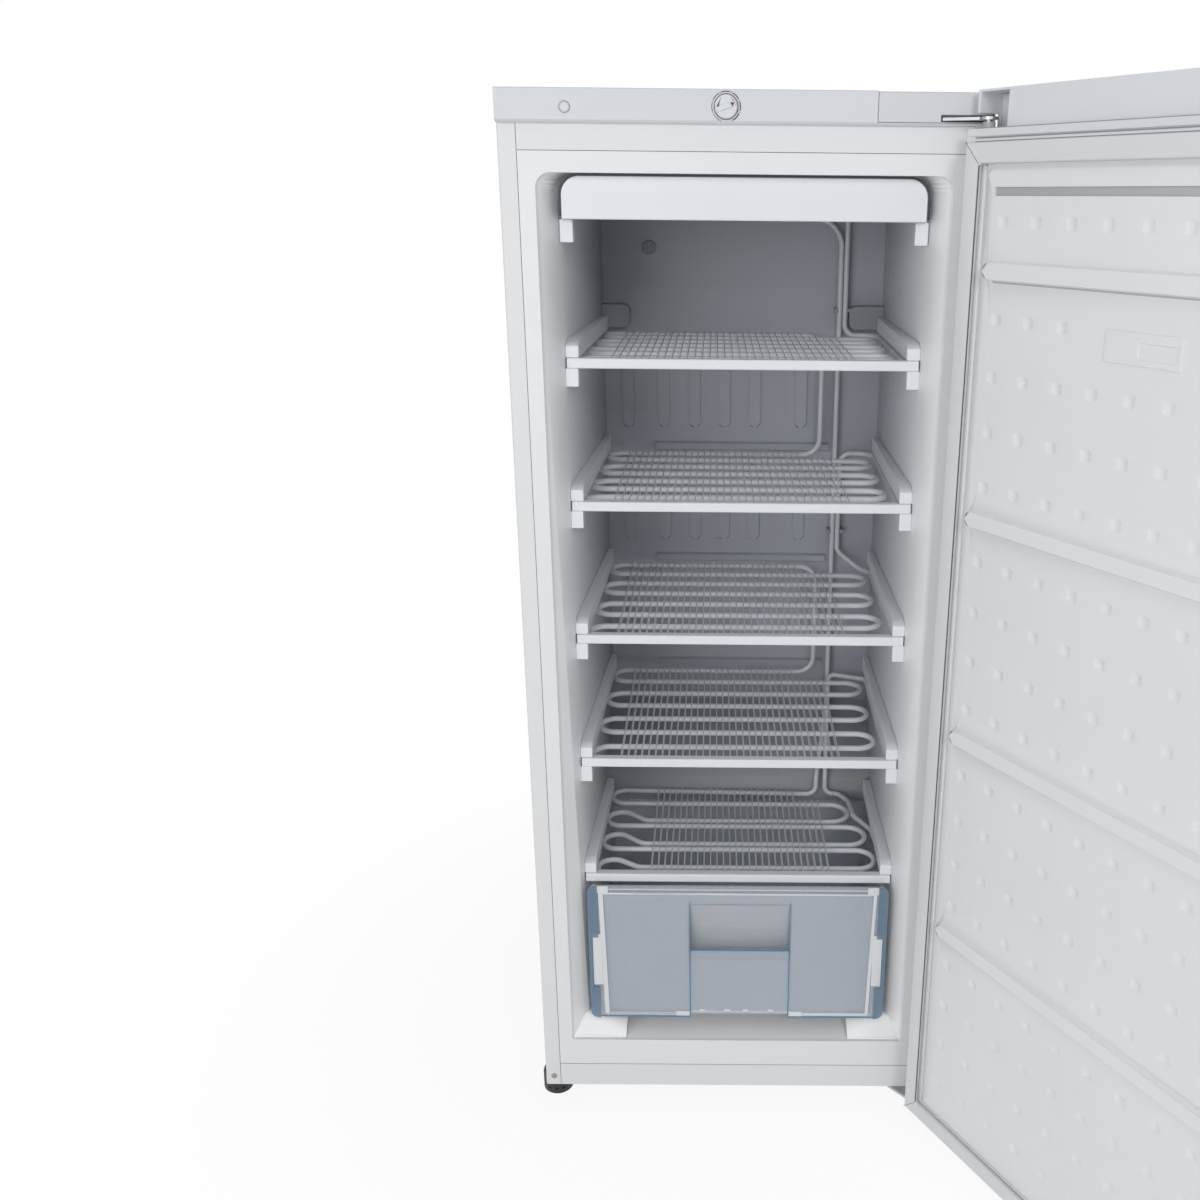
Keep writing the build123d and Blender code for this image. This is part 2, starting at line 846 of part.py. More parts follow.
def slanting_link(high, low):
    """Down the back wall, then slanting forward into the side tube of the shelf below."""
    points = [
        (link_tube_x + link_bend_radius, back_tube_y, high),
        (link_tube_x, back_tube_y, high),
        (link_tube_x, back_tube_y, low + slant_rise),
        (side_tube_x - slant_run, side_join_y + slant_knee_run, low),
        (side_tube_x, side_join_y + slant_run, low),
        (side_tube_x, side_join_y, low),
    ]
    return tube(points, tube_radius, [link_bend_radius - bend_play, 14.0, 18.0, 18.0])


def low_link():
    """From the fourth shelf down over the front edge of the hump to the lowest shelf."""
    top_x = low_link_x + low_link_lean
    y = cavity_depth - low_link_y_gap
    z_knee = hump_height + hump_slope * (y - hump_depth) + low_link_ride
    z = tube_planes[3]
    points = [
        (side_tube_x, side_join_y, z),
        (side_tube_x, side_join_y + slant_run, z),
        (top_x, y, z),
        (top_x, y, z_knee),
        (low_link_x, low_front_y, hump_height + tube_radius + tube_clear),
        (low_link_x, low_front_y, low_plane),
        low_link_end(),
    ]
    return tube(points, tube_radius, [14.0, 12.0, 22.0, 22.0, 11.0])


def drop_tube(high, low):
    """From the back row of one shelf down to the back row of the next."""
    y = rows[-1]
    x = drop_tube_x
    points = [(row_end_x, y, high), (x, y, high), (x, y, low), (row_end_x, y, low)]
    return tube(points, tube_radius, drop_bend_radius - bend_play)


def link_tubes():
    """Feed of the top coil through the back wall and the tubes from shelf to shelf."""
    feed = [
        (row_end_x, rows[-1], top_coil_plane),
        (drop_tube_x, rows[-1], top_coil_plane),
        (drop_tube_x, cavity_depth + wall_tube_reach, top_coil_plane),
    ]
    return [
        straight_link(top_coil_plane, tube_planes[0]),
        slanting_link(tube_planes[1], tube_planes[2]),
        low_link(),
        drop_tube(tube_planes[0], tube_planes[1]),
        drop_tube(tube_planes[2], tube_planes[3]),
        tube(feed, tube_radius, drop_bend_radius - bend_play),
    ]


def wall_tube_holes():
    """Holes in the back wall for the riser and the feed of the top coil."""
    y1 = cavity_depth + wall_tube_reach + 1
    spots = ((riser_exit_x, riser_top), (drop_tube_x, top_coil_plane))
    return [rod_y(x, z, cavity_depth - 4, y1, tube_radius + tube_slot_gap) for x, z in spots]


def suction_riser():
    """From the low shelf over the hump, straight up the back wall and through it."""
    foot_y = low_back_at(riser_foot_x)
    knee_z = hump_height + tube_radius + tube_clear
    reach = (tube_radius + tube_clear) * math.hypot(1, hump_slope)
    z_back = hump_height + reach + hump_slope * (back_tube_y - hump_depth)
    points = [
        low_row_end(),
        (riser_foot_x, foot_y, low_plane),
        (riser_foot_x, foot_y, knee_z),
        (riser_x, back_tube_y, z_back),
        (riser_x, back_tube_y, riser_top),
        (riser_exit_x, back_tube_y, riser_top),
        (riser_exit_x, cavity_depth + wall_tube_reach, riser_top),
    ]
    return tube(points, tube_radius, [riser_foot_bend, 18.0, 30.0, riser_top_bend, 8.0])


def tube_clips():
    parts = []
    y0 = back_tube_y - tube_radius - 1.75
    for z in clip_bottoms:
        top = z + clip_height
        clip = block(riser_x - 8, link_tube_x + 8.8, y0, cavity_depth - wall_gap, z, top)
        for x in (riser_x, link_tube_x):
            clip -= rod(x, back_tube_y, z - 1, top + 1, tube_radius + 0.1)
        clip -= block(riser_x - 2.6, link_tube_x + 2.6, y0 - 1, back_tube_y, z - 1, top + 1)
        parts.append(clip)
    return parts


def liner_plug():
    wall_y = cavity_depth - wall_gap
    plug_x = plug_inset - cavity_back_half_width
    plug = rod_y(plug_x, cavity_top - plug_drop, wall_y - 4, wall_y, plug_radius)
    return chamfer(plug.edges().group_by(Axis.Y)[0], 1.0)


def corner_blocks():
    """Round-cornered blocks at both ends of the first compartment's back wall."""
    parts = []
    y0 = cavity_depth - corner_block_depth
    z0 = shelf_top + corner_block_lift
    z1 = z0 + corner_block_height
    for side, gap in zip((-1, 1), corner_block_gaps):
        edge_x = side * (cavity_back_half_width - gap)
        x0, x1 = sorted((edge_x, side * half_width))
        shape = block(x0, x1, y0, cavity_depth, z0, z1)
        shape = fillet(shape.edges().filter_by(Axis.Y), corner_block_radius)
        parts.append(shape & cavity(-wall_gap))
    return parts


# Drawer
def drawer_tub():
    """Clear tub with its front plate and a pull pocket behind a lip."""
    y0 = drawer_front_y
    y1 = y0 + drawer_front_thickness
    top = drawer_tub_top
    height = top - drawer_bottom
    lean = math.tan(math.radians(drawer_draft)) * height
    middle = (y1 + drawer_back_y) / 2
    width = 2 * drawer_top_half_width
    depth = drawer_back_y - y1

    def hollow(inset, z0, z1):
        sections = []
        for z in (z0, z1):
            shrink = 2 * lean * (top - z) / height + 2 * inset
            section = Rectangle(width - shrink, depth - shrink)
            sections.append(Pos(0, middle, z) * section)
        return loft(sections)

    outer = hollow(0, drawer_bottom, top)
    outer += block(-width / 2, width / 2, y1, y1 + lean + 4, top - 5, top)
    rim_x = width / 2 + drawer_rim
    outer += block(-rim_x, rim_x, y1, drawer_back_y, top - 3, top)
    tub = outer + front_sheet(y1, drawer_front_thickness)
    tub -= hollow(drawer_wall, drawer_bottom + drawer_wall, top + 1)
    x0 = pull_center_x - pull_half_width
    x1 = pull_center_x + pull_half_width
    w = drawer_wall
    shell = [
        (y1, pull_top_z + w),
        (y0 + pull_depth + w, pull_floor_z + 6),
        (y0 + pull_depth + w, pull_floor_z - w),
        (y1, pull_floor_z - w),
    ]
    tub += prism_x(shell, x0 - w, x1 + w)
    pocket = [
        (y0 - 1, pull_top_z),
        (y0 + w, pull_top_z - 2),
        (y0 + pull_depth, pull_floor_z + 6),
        (y0 + pull_depth, pull_floor_z),
        (y1, pull_floor_z),
        (y1, pull_lip_z),
        (y0 - 1, pull_lip_z),
    ]
    tub -= prism_x(pocket, x0, x1)
    # The bottom edge is raised in the middle
    foot_z = drawer_bottom + drawer_foot_rise
    return tub - block(x0, x1, y0 - 1, y1, drawer_bottom - 1, foot_z)


def front_sheet(back_y, thickness):
    """The drawer front's outline as a sheet that ends at back_y."""
    height = drawer_front_top - drawer_bottom
    place = (0, back_y, drawer_bottom + height / 2)
    plane = Plane(origin=place, x_dir=(1, 0, 0), z_dir=(0, -1, 0))
    sketch = plane * RectangleRounded(2 * drawer_front_half_width, height, drawer_corner_radius)
    return extrude(sketch, amount=thickness)


def drawer_bands():
    """Tinted strips down both ends of the drawer front, each with a notch in the middle."""
    y1 = drawer_front_y
    height = drawer_front_top - drawer_bottom
    shape = front_sheet(y1, band_thickness)
    band_x = drawer_front_half_width - band_width
    shape -= block(-band_x, band_x, 0, y1 + 1, 0, cabinet_height)
    notch0, notch1 = [drawer_bottom + share * height for share in band_notch_shares]
    notch_x = drawer_front_half_width - band_edge
    return shape - block(-notch_x, notch_x, 0, y1 + 1, notch0, notch1)


def drawer_runners():
    """Pads on the liner floor that the drawer slides on, ramped at the sill."""
    z1 = drawer_bottom - runner_gap
    y1 = hump_depth - 4
    points = [
        (runner_front, cavity_bottom),
        (runner_front, cavity_bottom + runner_lip),
        (runner_front + runner_ramp, z1),
        (y1, z1),
        (y1, cavity_bottom),
    ]
    pad = prism_x(points, runner_inner_x, half_width)
    return both_sides(pad & cavity(-wall_gap))


# Door, drawn closed
def door_prism(inset):
    """The door's outline with rounded front corners, from floor level to above its top."""
    x = half_width - inset
    y = door_outer_y + inset
    corners = ((-x, 0, 0), (-x, y, 0), (x, y, 0), (x, 0, 0))
    line = FilletPolyline(*corners, radius=door_corner_radius - inset)
    return extrude(make_face(line + Line((x, 0, 0), (-x, 0, 0))), amount=door_top + 1)


def door_skin_shape():
    """Outer sheet folded round both sides, with a lip on the inner face."""
    z0 = door_bottom + cap_wall
    z1 = door_top - cap_wall
    inner_y = door_inner_y - door_skin
    slab = block(-half_width, half_width, door_outer_y, door_inner_y, z0, z1)
    core = block(-half_width, half_width, door_outer_y, inner_y, z0, z1)
    shell = (slab & door_prism(0)) - (core & door_prism(door_skin))
    lip_x = half_width - skin_lip
    shell -= block(-lip_x, lip_x, inner_y - 1, door_inner_y + 1, z0, z1)
    # The lips and folds stop at the step of the upper part
    shell -= block(-half_width, half_width, step_y, door_inner_y + 1, ledge_bottom_z, door_top)
    return shell - grip_box(0) - hinge_swing()


def hinge_swing():
    """Room that the fixed hinge plate needs in the door."""
    return rod(pin_x, pin_y, ledge_top_z, slot_top + 1.5, hinge_swing_radius)


def grip_box(grow):
    x1 = -half_width + grip_depth - grow
    y_mid = (door_inner_y + door_outer_y) / 2
    half_y = grip_width / 2 - grow
    z0 = grip_center_z - grip_height / 2 + grow
    z1 = grip_center_z + grip_height / 2 - grow
    return block(-half_width - 1, x1, y_mid - half_y, y_mid + half_y, z0, z1)


def grip_cup():
    """Moulded finger recess in the free edge."""
    cup = grip_box(panel_gap) & block(-half_width, 0, door_outer_y, door_inner_y, 0, door_top)
    return cup - grip_box(panel_gap + cap_wall)


def bush_hole(z0, z1):
    return rod(pin_x, pin_y, z0, z1, bush_radius + wall_gap)


def door_boss():
    return rod(pin_x, pin_y, door_bottom, door_bottom + boss_height, bush_radius + boss_wall)


def door_top_cap():
    """Ledge under a hollow upright, with the hinge pocket at its right end."""
    x = half_width - door_skin
    y0 = door_outer_y + door_skin
    z_under = door_top - cap_wall
    cap = block(-x, x, y0, door_inner_y, ledge_bottom_z, ledge_top_z)
    cap += block(-x, x, step_y - cap_wall, step_y, ledge_top_z, door_top)
    for side in (-1, 1):
        x0, x1 = sorted((side * (half_width - pocket_side_wall), side * x))
        cap += block(x0, x1, y0, step_y, ledge_top_z, door_top)
    pocket_x1 = half_width - pocket_side_wall
    pocket_x0 = pocket_x1 - pocket_width
    cap += block(pocket_x0 - cap_wall, pocket_x0, y0, step_y, ledge_top_z, door_top)
    cap -= block(pocket_x0, pocket_x1, y0, step_y + 1, ledge_top_z, z_under)
    cap &= door_prism(door_skin)
    rim = block(-half_width, half_width, step_y, door_inner_y, ledge_bottom_z, ledge_top_z)
    rim += block(-half_width, half_width, door_outer_y, step_y, z_under, door_top)
    cap += rim & door_prism(0)
    return cap - bush_hole(ledge_bottom_z - 1, ledge_top_z + 1) - hinge_swing()


def door_bottom_cap():
    x = half_width
    cap = block(-x, x, door_outer_y, door_inner_y, door_bottom, door_bottom + cap_wall)
    cap &= door_prism(0)
    cap += door_boss() & door_prism(door_skin)
    return cap - bush_hole(0, door_bottom + boss_height + 1)


def door_panel():
    """Moulded inner panel: flange, raised field, ribs, groove and dimples."""
    x = half_width - skin_lip - foam_gap
    y_flange = door_inner_y - panel_flange
    z0 = door_bottom + cap_wall + foam_gap
    z1 = ledge_bottom_z - foam_gap
    field_x = half_width - panel_inset_x

    def field(inset, y0, y1):
        width = 2 * (field_x - inset)
        height = panel_top_z - panel_bottom_z - 2 * inset
        middle = (panel_top_z + panel_bottom_z) / 2
        base = Plane(origin=(0, y0, middle), x_dir=(1, 0, 0), z_dir=(0, 1, 0))
        rise = y1 - y0
        corner = panel_corner_radius - rise / 2
        foot_face = base * RectangleRounded(width, height, panel_corner_radius)
        crest = RectangleRounded(width - 2 * rise, height - 2 * rise, corner)
        return loft([foot_face, base.offset(rise) * crest])

    panel = block(-x, x, y_flange, door_inner_y, z0, z1)
    panel += field(0, door_inner_y - 0.5, panel_face_y)
    panel -= field(panel_wall, y_flange - 1, panel_face_y - panel_wall)
    for i in range(door_rib_count):
        panel += door_rib(door_rib_top_z - i * door_rib_pitch)
    rib_x = half_width - door_rib_inset
    y0 = panel_face_y - groove_depth
    z0 = groove_z - groove_height / 2
    panel -= block(-rib_x, rib_x, y0, panel_face_y + 1, z0, z0 + groove_height)
    sphere = (dimple_radius**2 + dimple_depth**2) / (2 * dimple_depth)
    y_ball = panel_face_y - dimple_depth + sphere
    return panel - [Pos(x, y_ball, z) * Sphere(sphere) for x, z in dimple_spots()]


def door_rib(top):
    """Rounded ridge across the panel, a little narrower at its crest."""
    sunk = 0.5
    height = door_rib_height
    length = 2 * (half_width - door_rib_inset)
    place = (0, panel_face_y - sunk, top - height / 2)
    base = Plane(origin=place, x_dir=(1, 0, 0), z_dir=(0, 1, 0))
    corner = 0.41 * height
    foot_face = base * RectangleRounded(length + 6, height + 5, corner + 1)
    crest = base.offset(door_rib_depth + sunk) * RectangleRounded(length, height, corner)
    return loft([foot_face, crest])


def dimple_spots():
    """Columns across the panel; rows between its ribs, none beside the raised plate."""
    spots = []
    limit = half_width - dimple_first_inset
    columns = int(2 * limit / dimple_pitch_x) + 1
    levels = [dimple_top_row_z]
    for band in range(door_rib_count):
        first = door_rib_top_z - band * door_rib_pitch - dimple_first_drop
        levels += [first - row * dimple_pitch_z for row in range(dimple_rows)]
    plate_middle = badge_left_inset + badge_width / 2
    plate_reach = badge_width / 2 + 2 * dimple_radius
    low = badge_bottom_z - 1.5 * dimple_radius
    high = badge_bottom_z + badge_height + dimple_radius
    for z in levels:
        for column in range(columns):
            x = limit - column * dimple_pitch_x
            across = abs(half_width - x - plate_middle) < plate_reach
            if z > panel_bottom_z + 2 * dimple_radius and not (across and low < z < high):
                spots.append((x, z))
    return spots


def door_badge():
    """Bare raised plate with a small window frame."""
    x1 = half_width - badge_left_inset
    x0 = x1 - badge_width
    y0 = panel_face_y
    z0 = badge_bottom_z
    z1 = z0 + badge_height
    plate = fillet(block(x0, x1, y0, y0 + badge_rise, z0, z1).edges().filter_by(Axis.Y), 2.0)
    window_x = x0 + 0.05 * badge_width
    window_y = y0 + badge_rise / 2
    window_z = z0 + 0.2 * badge_height
    width = 0.5 * badge_width
    height = 0.5 * badge_height
    window = block(window_x, window_x + width, window_y, y0 + 9, window_z, window_z + height)
    return plate - fillet(window.edges().filter_by(Axis.Y), 3.0)


def door_gasket():
    """Soft frame: a flat foot, a neck and a rounded bulb."""
    z_mid = (gasket_top_z + gasket_bottom_z) / 2
    height = gasket_top_z - gasket_bottom_z
    width = 2 * (half_width - gasket_outer_inset)

    def frame(inset, y0, y1):
        plane = Plane(origin=(0, y0, z_mid), x_dir=(1, 0, 0), z_dir=(0, 1, 0))
        outer = plane * RectangleRounded(width - 2 * inset, height - 2 * inset, 3)
        hole = gasket_width - inset
        inner = plane * RectangleRounded(width - 2 * hole, height - 2 * hole, 3)
        return extrude(outer, amount=y1 - y0) - extrude(inner, amount=y1 - y0)

    foot_y = door_inner_y + gasket_foot
    neck_y = foot_y + gasket_neck
    bulb = frame(0.5, neck_y, -gasket_clear)
    bulb = chamfer(bulb.faces().sort_by(Axis.Y)[-1].edges(), 1.6)
    return frame(0, door_inner_y, foot_y) + frame(gasket_neck_inset, foot_y, neck_y) + bulb


def door_foam():
    x = half_width - door_skin
    y0 = door_outer_y + door_skin
    y1 = door_inner_y - panel_flange
    body = block(-x, x, y0, y1, door_bottom + cap_wall, ledge_bottom_z)
    body &= door_prism(door_skin)
    return body - grip_box(0) - door_boss() - bush_hole(ledge_bottom_z - boss_height, door_top)


def door_bushes():
    hole = pin_radius + bush_gap
    lower_top = door_bottom + boss_height - 2
    lower = rod(pin_x, pin_y, door_bottom - 1.1, lower_top, bush_radius)
    lower -= rod(pin_x, pin_y, 0, lower_top - 3, hole)
    upper_bottom = ledge_bottom_z - boss_height + 4
    upper = rod(pin_x, pin_y, upper_bottom, hinge_plate_z - 2, bush_radius)
    upper -= rod(pin_x, pin_y, upper_bottom + 2, hinge_plate_z, hole)
    return group([lower, upper])


# Hinges and feet
def top_hinge():
    """Plate on a spacer in the control space, with the pin that holds the door's top."""
    z0 = hinge_plate_z
    z1 = z0 + hinge_plate_thickness
    nose = Pos(pin_x, pin_y) * Circle(hinge_nose_radius)
    right = slot_right - 1.0
    left = slot_left + 1.5
    back = control_space_depth - 8
    front = -fascia_proud - 2
    corners = [
        (left, front, 0),
        (pin_x - hinge_nose_radius, pin_y, 0),
        (pin_x + hinge_nose_radius * 0.6, pin_y, 0),
        (right, front, 0),
        (right, back, 0),
        (left, back, 0),
    ]
    arm = make_face(Polyline(*corners, close=True))
    plate = Pos(0, 0, z0) * extrude(arm + nose, amount=hinge_plate_thickness)
    plate += block(left, right, wrap_corner_radius + 1, back, fascia_bottom, z0)
    plate += rod(pin_x, pin_y, ledge_bottom_z - boss_height / 2, z1, pin_radius)
    for x in (left + 14, right - 14):
        plate += rod(x, control_space_depth / 2, z1, z1 + 4, hinge_screw_radius)
    return plate


def lower_hinge():
    """Plate under the front right corner, with the pin that carries the door."""
    t = lower_plate_thickness
    nose = Pos(pin_x, pin_y) * Circle(hinge_nose_radius)
    left = half_width - foot_plate_size
    back = foot_inset_y + foot_plate_size / 2
    corners = [
        (left, t, 0),
        (pin_x - hinge_nose_radius, pin_y, 0),
        (pin_x + hinge_nose_radius, pin_y, 0),
        (half_width, t, 0),
        (half_width, back, 0),
        (left, back, 0),
    ]
    arm = make_face(Polyline(*corners, close=True))
    plate = Pos(0, 0, -t) * extrude(arm + nose, amount=t)
    plate += rod(pin_x, pin_y, -t, door_bottom + boss_height / 2, pin_radius)
    return plate - rod(foot_x, foot_inset_y, -t - 1, 1, foot_stud_radius + foot_gap)


def foot_plates():
    t = lower_plate_thickness
    half = foot_plate_size / 2
    rear_y = cabinet_depth - foot_inset_y
    parts = []
    for side, y in ((-1, foot_inset_y), (-1, rear_y), (1, rear_y)):
        x0, x1 = sorted((side * half_width, side * (half_width - foot_plate_size)))
        plate = block(x0, x1, y - half, y + half, -t, 0)
        parts.append(plate - rod(side * foot_x, y, -t - 1, 1, foot_stud_radius + foot_gap))
    return group(parts)


def foot(x, y):
    """Black round foot with flutes, on a threaded stud."""
    top = -lower_plate_thickness - foot_gap
    body = rod(x, y, -foot_height, top, foot_radius)
    body = chamfer(body.edges().sort_by(Axis.Z)[0], 2.0)
    body = chamfer(body.edges().sort_by(Axis.Z)[-1], 1.5)
    reach = foot_radius + 0.65 * foot_flute_radius
    for i in range(foot_flutes):
        angle = 2 * math.pi * i / foot_flutes
        flute_x = x + reach * math.cos(angle)
        flute_y = y + reach * math.sin(angle)
        body -= rod(flute_x, flute_y, foot_rim_height - foot_height, top + 1, foot_flute_radius)
    return body + rod(x, y, top, foot_stud_top, foot_stud_radius)


# Control panel
def control_panel():
    """Strip across the top front, bevelled below, with its right end cut out for the cover."""
    top = cabinet_height
    back = wrap_corner_radius
    front = -fascia_proud
    points = [
        (back, fascia_bottom),
        (front + fascia_bevel, fascia_bottom),
        (front, fascia_bottom + fascia_bevel),
        (front, top - 1.0),
        (front + 1.0, top),
        (back, top),
    ]
    strip = prism_x(points, -half_width, half_width) - end_bevel()
    # Hollow behind the face, with end walls
    w = panel_shell_wall
    x = half_width - w
    strip -= block(-x, x, front + w, back + 1, fascia_bottom + w + 1, top - w)
    x0 = hinge_cover_left - panel_gap
    z0 = hinge_cover_bottom - panel_gap
    strip -= block(x0, half_width + 1, front - 1, back + 1, z0, top + 1)
    strip -= rod_y(knob_x, knob_z, front - 1, 1, shaft_radius + shaft_gap)
    return strip - rod_y(lamp_x, lamp_z, front - 1, 1, lamp_radius - lamp_rim)


def end_bevel():
    """Slanted cut at the right end of the strip and its cover, clear of the open door."""
    y0 = -fascia_proud - hinge_cover_proud
    over = 2
    corners = [
        (half_width - end_bevel_size - over, y0 - over, 0),
        (half_width + over, y0 + end_bevel_size + over, 0),
        (half_width + over, y0 - over, 0),
    ]
    return extrude(make_face(Polyline(*corners, close=True)), amount=cabinet_height + over)


def hinge_cover():
    y0 = -fascia_proud - hinge_cover_proud
    y1 = wrap_corner_radius
    left = hinge_cover_left
    bottom = hinge_cover_bottom
    cover = block(left, half_width, y0, y1, bottom, hinge_cover_top)
    cover = chamfer(cover.faces().sort_by(Axis.Y)[0].edges(), 0.8) - end_bevel()
    w = panel_shell_wall
    end_x = half_width - end_bevel_size - w
    cover -= block(left + w, end_x, y0 + w, y1 + 1, bottom + w, hinge_cover_top - w)
    return cover - block(slot_left, slot_right, y0 - 1, y1 + 1, slot_bottom, slot_top)


def thermostat_body():
    x = thermostat_half_width
    z = thermostat_half_height
    y0 = thermostat_front
    y1 = thermostat_back
    body = block(knob_x - x, knob_x + x, y0, y1, knob_z - z, knob_z + z)
    neck_y = -fascia_proud + panel_shell_wall + 0.1
    body += rod_y(knob_x, knob_z, neck_y, y0 + 1, 2 * shaft_radius)
    return body - rod_y(knob_x, knob_z, -fascia_proud, 0.6 * y1, shaft_radius + shaft_gap)


def thermostat_knob():
    """Disc with a slanted grip bar and its shaft."""
    y0 = -fascia_proud - knob_gap
    disc_y = y0 - 0.6 * knob_height
    disc = rod_y(knob_x, knob_z, disc_y, y0, knob_radius)
    disc = chamfer(disc.edges().group_by(Axis.Y)[0], 0.8)
    depth = knob_height - (y0 - disc_y)
    bar = Box(2 * knob_radius - 3, 1.5 * depth, knob_bar_width)
    bar = fillet(bar.edges().filter_by(Axis.Y), 0.4 * knob_bar_width)
    bar = Pos(knob_x, disc_y - depth / 4, knob_z) * Rot(0, knob_bar_angle, 0) * bar
    shaft = rod_y(knob_x, knob_z, y0 - 0.5, thermostat_back / 2, shaft_radius)
    return disc + bar + shaft


def dial_ring():
    y1 = -fascia_proud
    ring = rod_y(knob_x, knob_z, y1 - ring_rise, y1, ring_outer)
    ring -= rod_y(knob_x, knob_z, y1 - 2, y1 + 1, ring_inner)
    half = math.radians(ring_gap_angle / 2)
    x = 2 * ring_outer * math.sin(half)
    z = -2 * ring_outer * math.cos(half)
    gap = make_face(Polyline((0, 0, 0), (-x, 0, z), (x, 0, z), close=True))
    return ring - Pos(knob_x, y1 - 3, knob_z) * extrude(gap, amount=6, dir=(0, 1, 0))


def indicator_lamp():
    y1 = -fascia_proud
    inner = lamp_radius - lamp_rim
    bezel = rod_y(lamp_x, lamp_z, y1 - 0.8, y1, lamp_radius)
    bezel -= rod_y(lamp_x, lamp_z, y1 - 2, y1 + 1, inner)
    lens = rod_y(lamp_x, lamp_z, y1 - 0.6, 10, inner - 0.3)
    lens += rod_y(lamp_x, lamp_z, 0.5, 10, lamp_radius + 1)
    return group([bezel, lens])


# Cooling set
def condenser_coil():
    """Tube to and fro behind the back panel."""
    points = []
    x = condenser_half_width
    for i in range(condenser_rows):
        z = condenser_bottom + i * condenser_pitch
        points += [(x, condenser_y, z), (-x, condenser_y, z)]
        x = -x
    points[0] = (condenser_half_width - 25, condenser_y, condenser_bottom)
    return tube(points, condenser_tube_radius, condenser_pitch / 2 - bend_play)


def condenser_wires():
    y = condenser_y + condenser_tube_radius + wire_radius + wire_gap
    z0 = condenser_bottom - condenser_wire_over
    z1 = condenser_top + condenser_wire_over
    span = condenser_half_width - condenser_wire_inset
    count = int(2 * span / condenser_wire_pitch)
    first = -count * condenser_wire_pitch / 2
    steps = range(count + 1)
    return [rod(first + i * condenser_wire_pitch, y, z0, z1, wire_radius) for i in steps]


def condenser_brackets():
    """Two upright straps between the panel and the tube rows."""
    y0 = cabinet_depth
    y1 = condenser_y - condenser_tube_radius
    x1 = condenser_half_width - 0.6 * condenser_wire_inset
    x0 = x1 - strap_width
    over = condenser_wire_over - 2
    z0 = condenser_bottom - over
    z1 = condenser_top + over
    strap = block(x0, x1, y1 - strap_thickness, y1, z0, z1)
    half = strap_width / 2 - 1
    for share in strap_stub_shares:
        z = z0 + share * (z1 - z0)
        strap += block(x0 + 1, x1 - 1, y0, y1, z - half, z + half)
    return both_sides(strap)


def mount_spots():
    sides = ((-1, -1), (-1, 1), (1, -1), (1, 1))
    return [(compressor_x + sx * mount_x, compressor_y + sy * mount_y) for sx, sy in sides]


def compressor():
    """Welded can with a seam flange, a foot plate and two tube stubs."""
    x = compressor_x
    y = compressor_y
    z0 = 2 * sheet + mount_height
    top = z0 + compressor_height
    can = rod(x, y, z0 + plate_thickness, top, compressor_radius)
    can = fillet(can.edges().filter_by(GeomType.CIRCLE), 0.42 * compressor_radius)
    seam_z = z0 + 0.55 * compressor_height
    can += rod(x, y, seam_z, seam_z + seam_height, compressor_radius + seam_rim)
    long = plate_half_length
    wide = plate_half_width
    can += block(x - long, x + long, y - wide, y + wide, z0, z0 + plate_thickness)
    for hole_x, hole_y in mount_spots():
        can -= rod(hole_x, hole_y, z0 - 1, z0 + plate_thickness + 1, mount_hole_radius)
    for step in stub_offsets:
        can += rod(x + step, y, top - 12, top + stub_rise, stub_radius)
    return can


def compressor_mounts():
    z0 = 2 * sheet
    neck = mount_hole_radius - 0.3
    neck_top = z0 + mount_height + 2 * plate_thickness + 3
    parts = []
    for x, y in mount_spots():
        foot_part = rod(x, y, z0, z0 + mount_height, mount_radius)
        parts.append(foot_part + rod(x, y, z0, neck_top, neck))
    return group(parts)


def starter_cover():
    """Box on the side of the can, with the cord inlet at its end."""
    y = compressor_y
    z0 = 2 * sheet + mount_height + 0.16 * compressor_height
    z1 = z0 + starter_size
    x1 = compressor_x - compressor_radius + 8
    x0 = x1 - 8 - starter_depth
    half = starter_size / 2
    cover = fillet(block(x0, x1, y - half, y + half, z0, z1).edges().filter_by(Axis.X), 6)
    cover -= rod(compressor_x, y, z0 - 5, z1 + 5, compressor_radius + panel_gap)
    gland = Cylinder(gland_radius, gland_length)
    place = Pos(x0 - gland_length / 2, y, z0 + 0.35 * starter_size)
    return cover + place * Rot(0, 90, 0) * gland


def filter_drier():
    """Copper drum with its tube ends, on a strap from the cross plate."""
    y = cabinet_depth - drier_wall_gap
    x = compressor_x + drier_offset
    top = drier_bottom + drier_length
    drum = rod(x, y, drier_bottom, top, drier_radius)
    drum = chamfer(drum.edges().filter_by(GeomType.CIRCLE), 0.55 * drier_radius)
    drum += rod(x, y, top - 2, top + drier_rise, drier_tube_radius)
    drum += rod(x, y, drier_bottom - drier_tail, drier_bottom + 2, drier_tube_radius)
    y1 = cabinet_depth - 3 * sheet
    y0 = y1 - 2 * sheet
    z1 = drier_strap_top
    arm = drier_radius / 3
    strap = block(x - arm, x + arm, y + drier_radius - 0.5, y1, z1 - drier_strap_height, z1)
    return drum + strap + block(x - 4 * arm, x + 4 * arm, y0, y1, 3 * sheet, z1)


# Write every piece
save("cabinet_wrap", cabinet_wrap())
save("top_rail", top_rail())
save("bottom_rail", bottom_rail())
save("base_plate", base_plate())
save("compressor_rail", compressor_rail())
save("back_panel", back_panel())
save("inner_liner", inner_liner())
save("cabinet_foam", cabinet_foam())
save("foot_plates", foot_plates())
save("lower_hinge", lower_hinge())
save("corner_screws", corner_screws())
save("control_panel", control_panel())
save("hinge_cover", hinge_cover())
save("top_hinge", top_hinge())
save("thermostat_body", thermostat_body())
save("thermostat_knob", thermostat_knob())
save("dial_ring", dial_ring())
save("indicator_lamp", indicator_lamp())

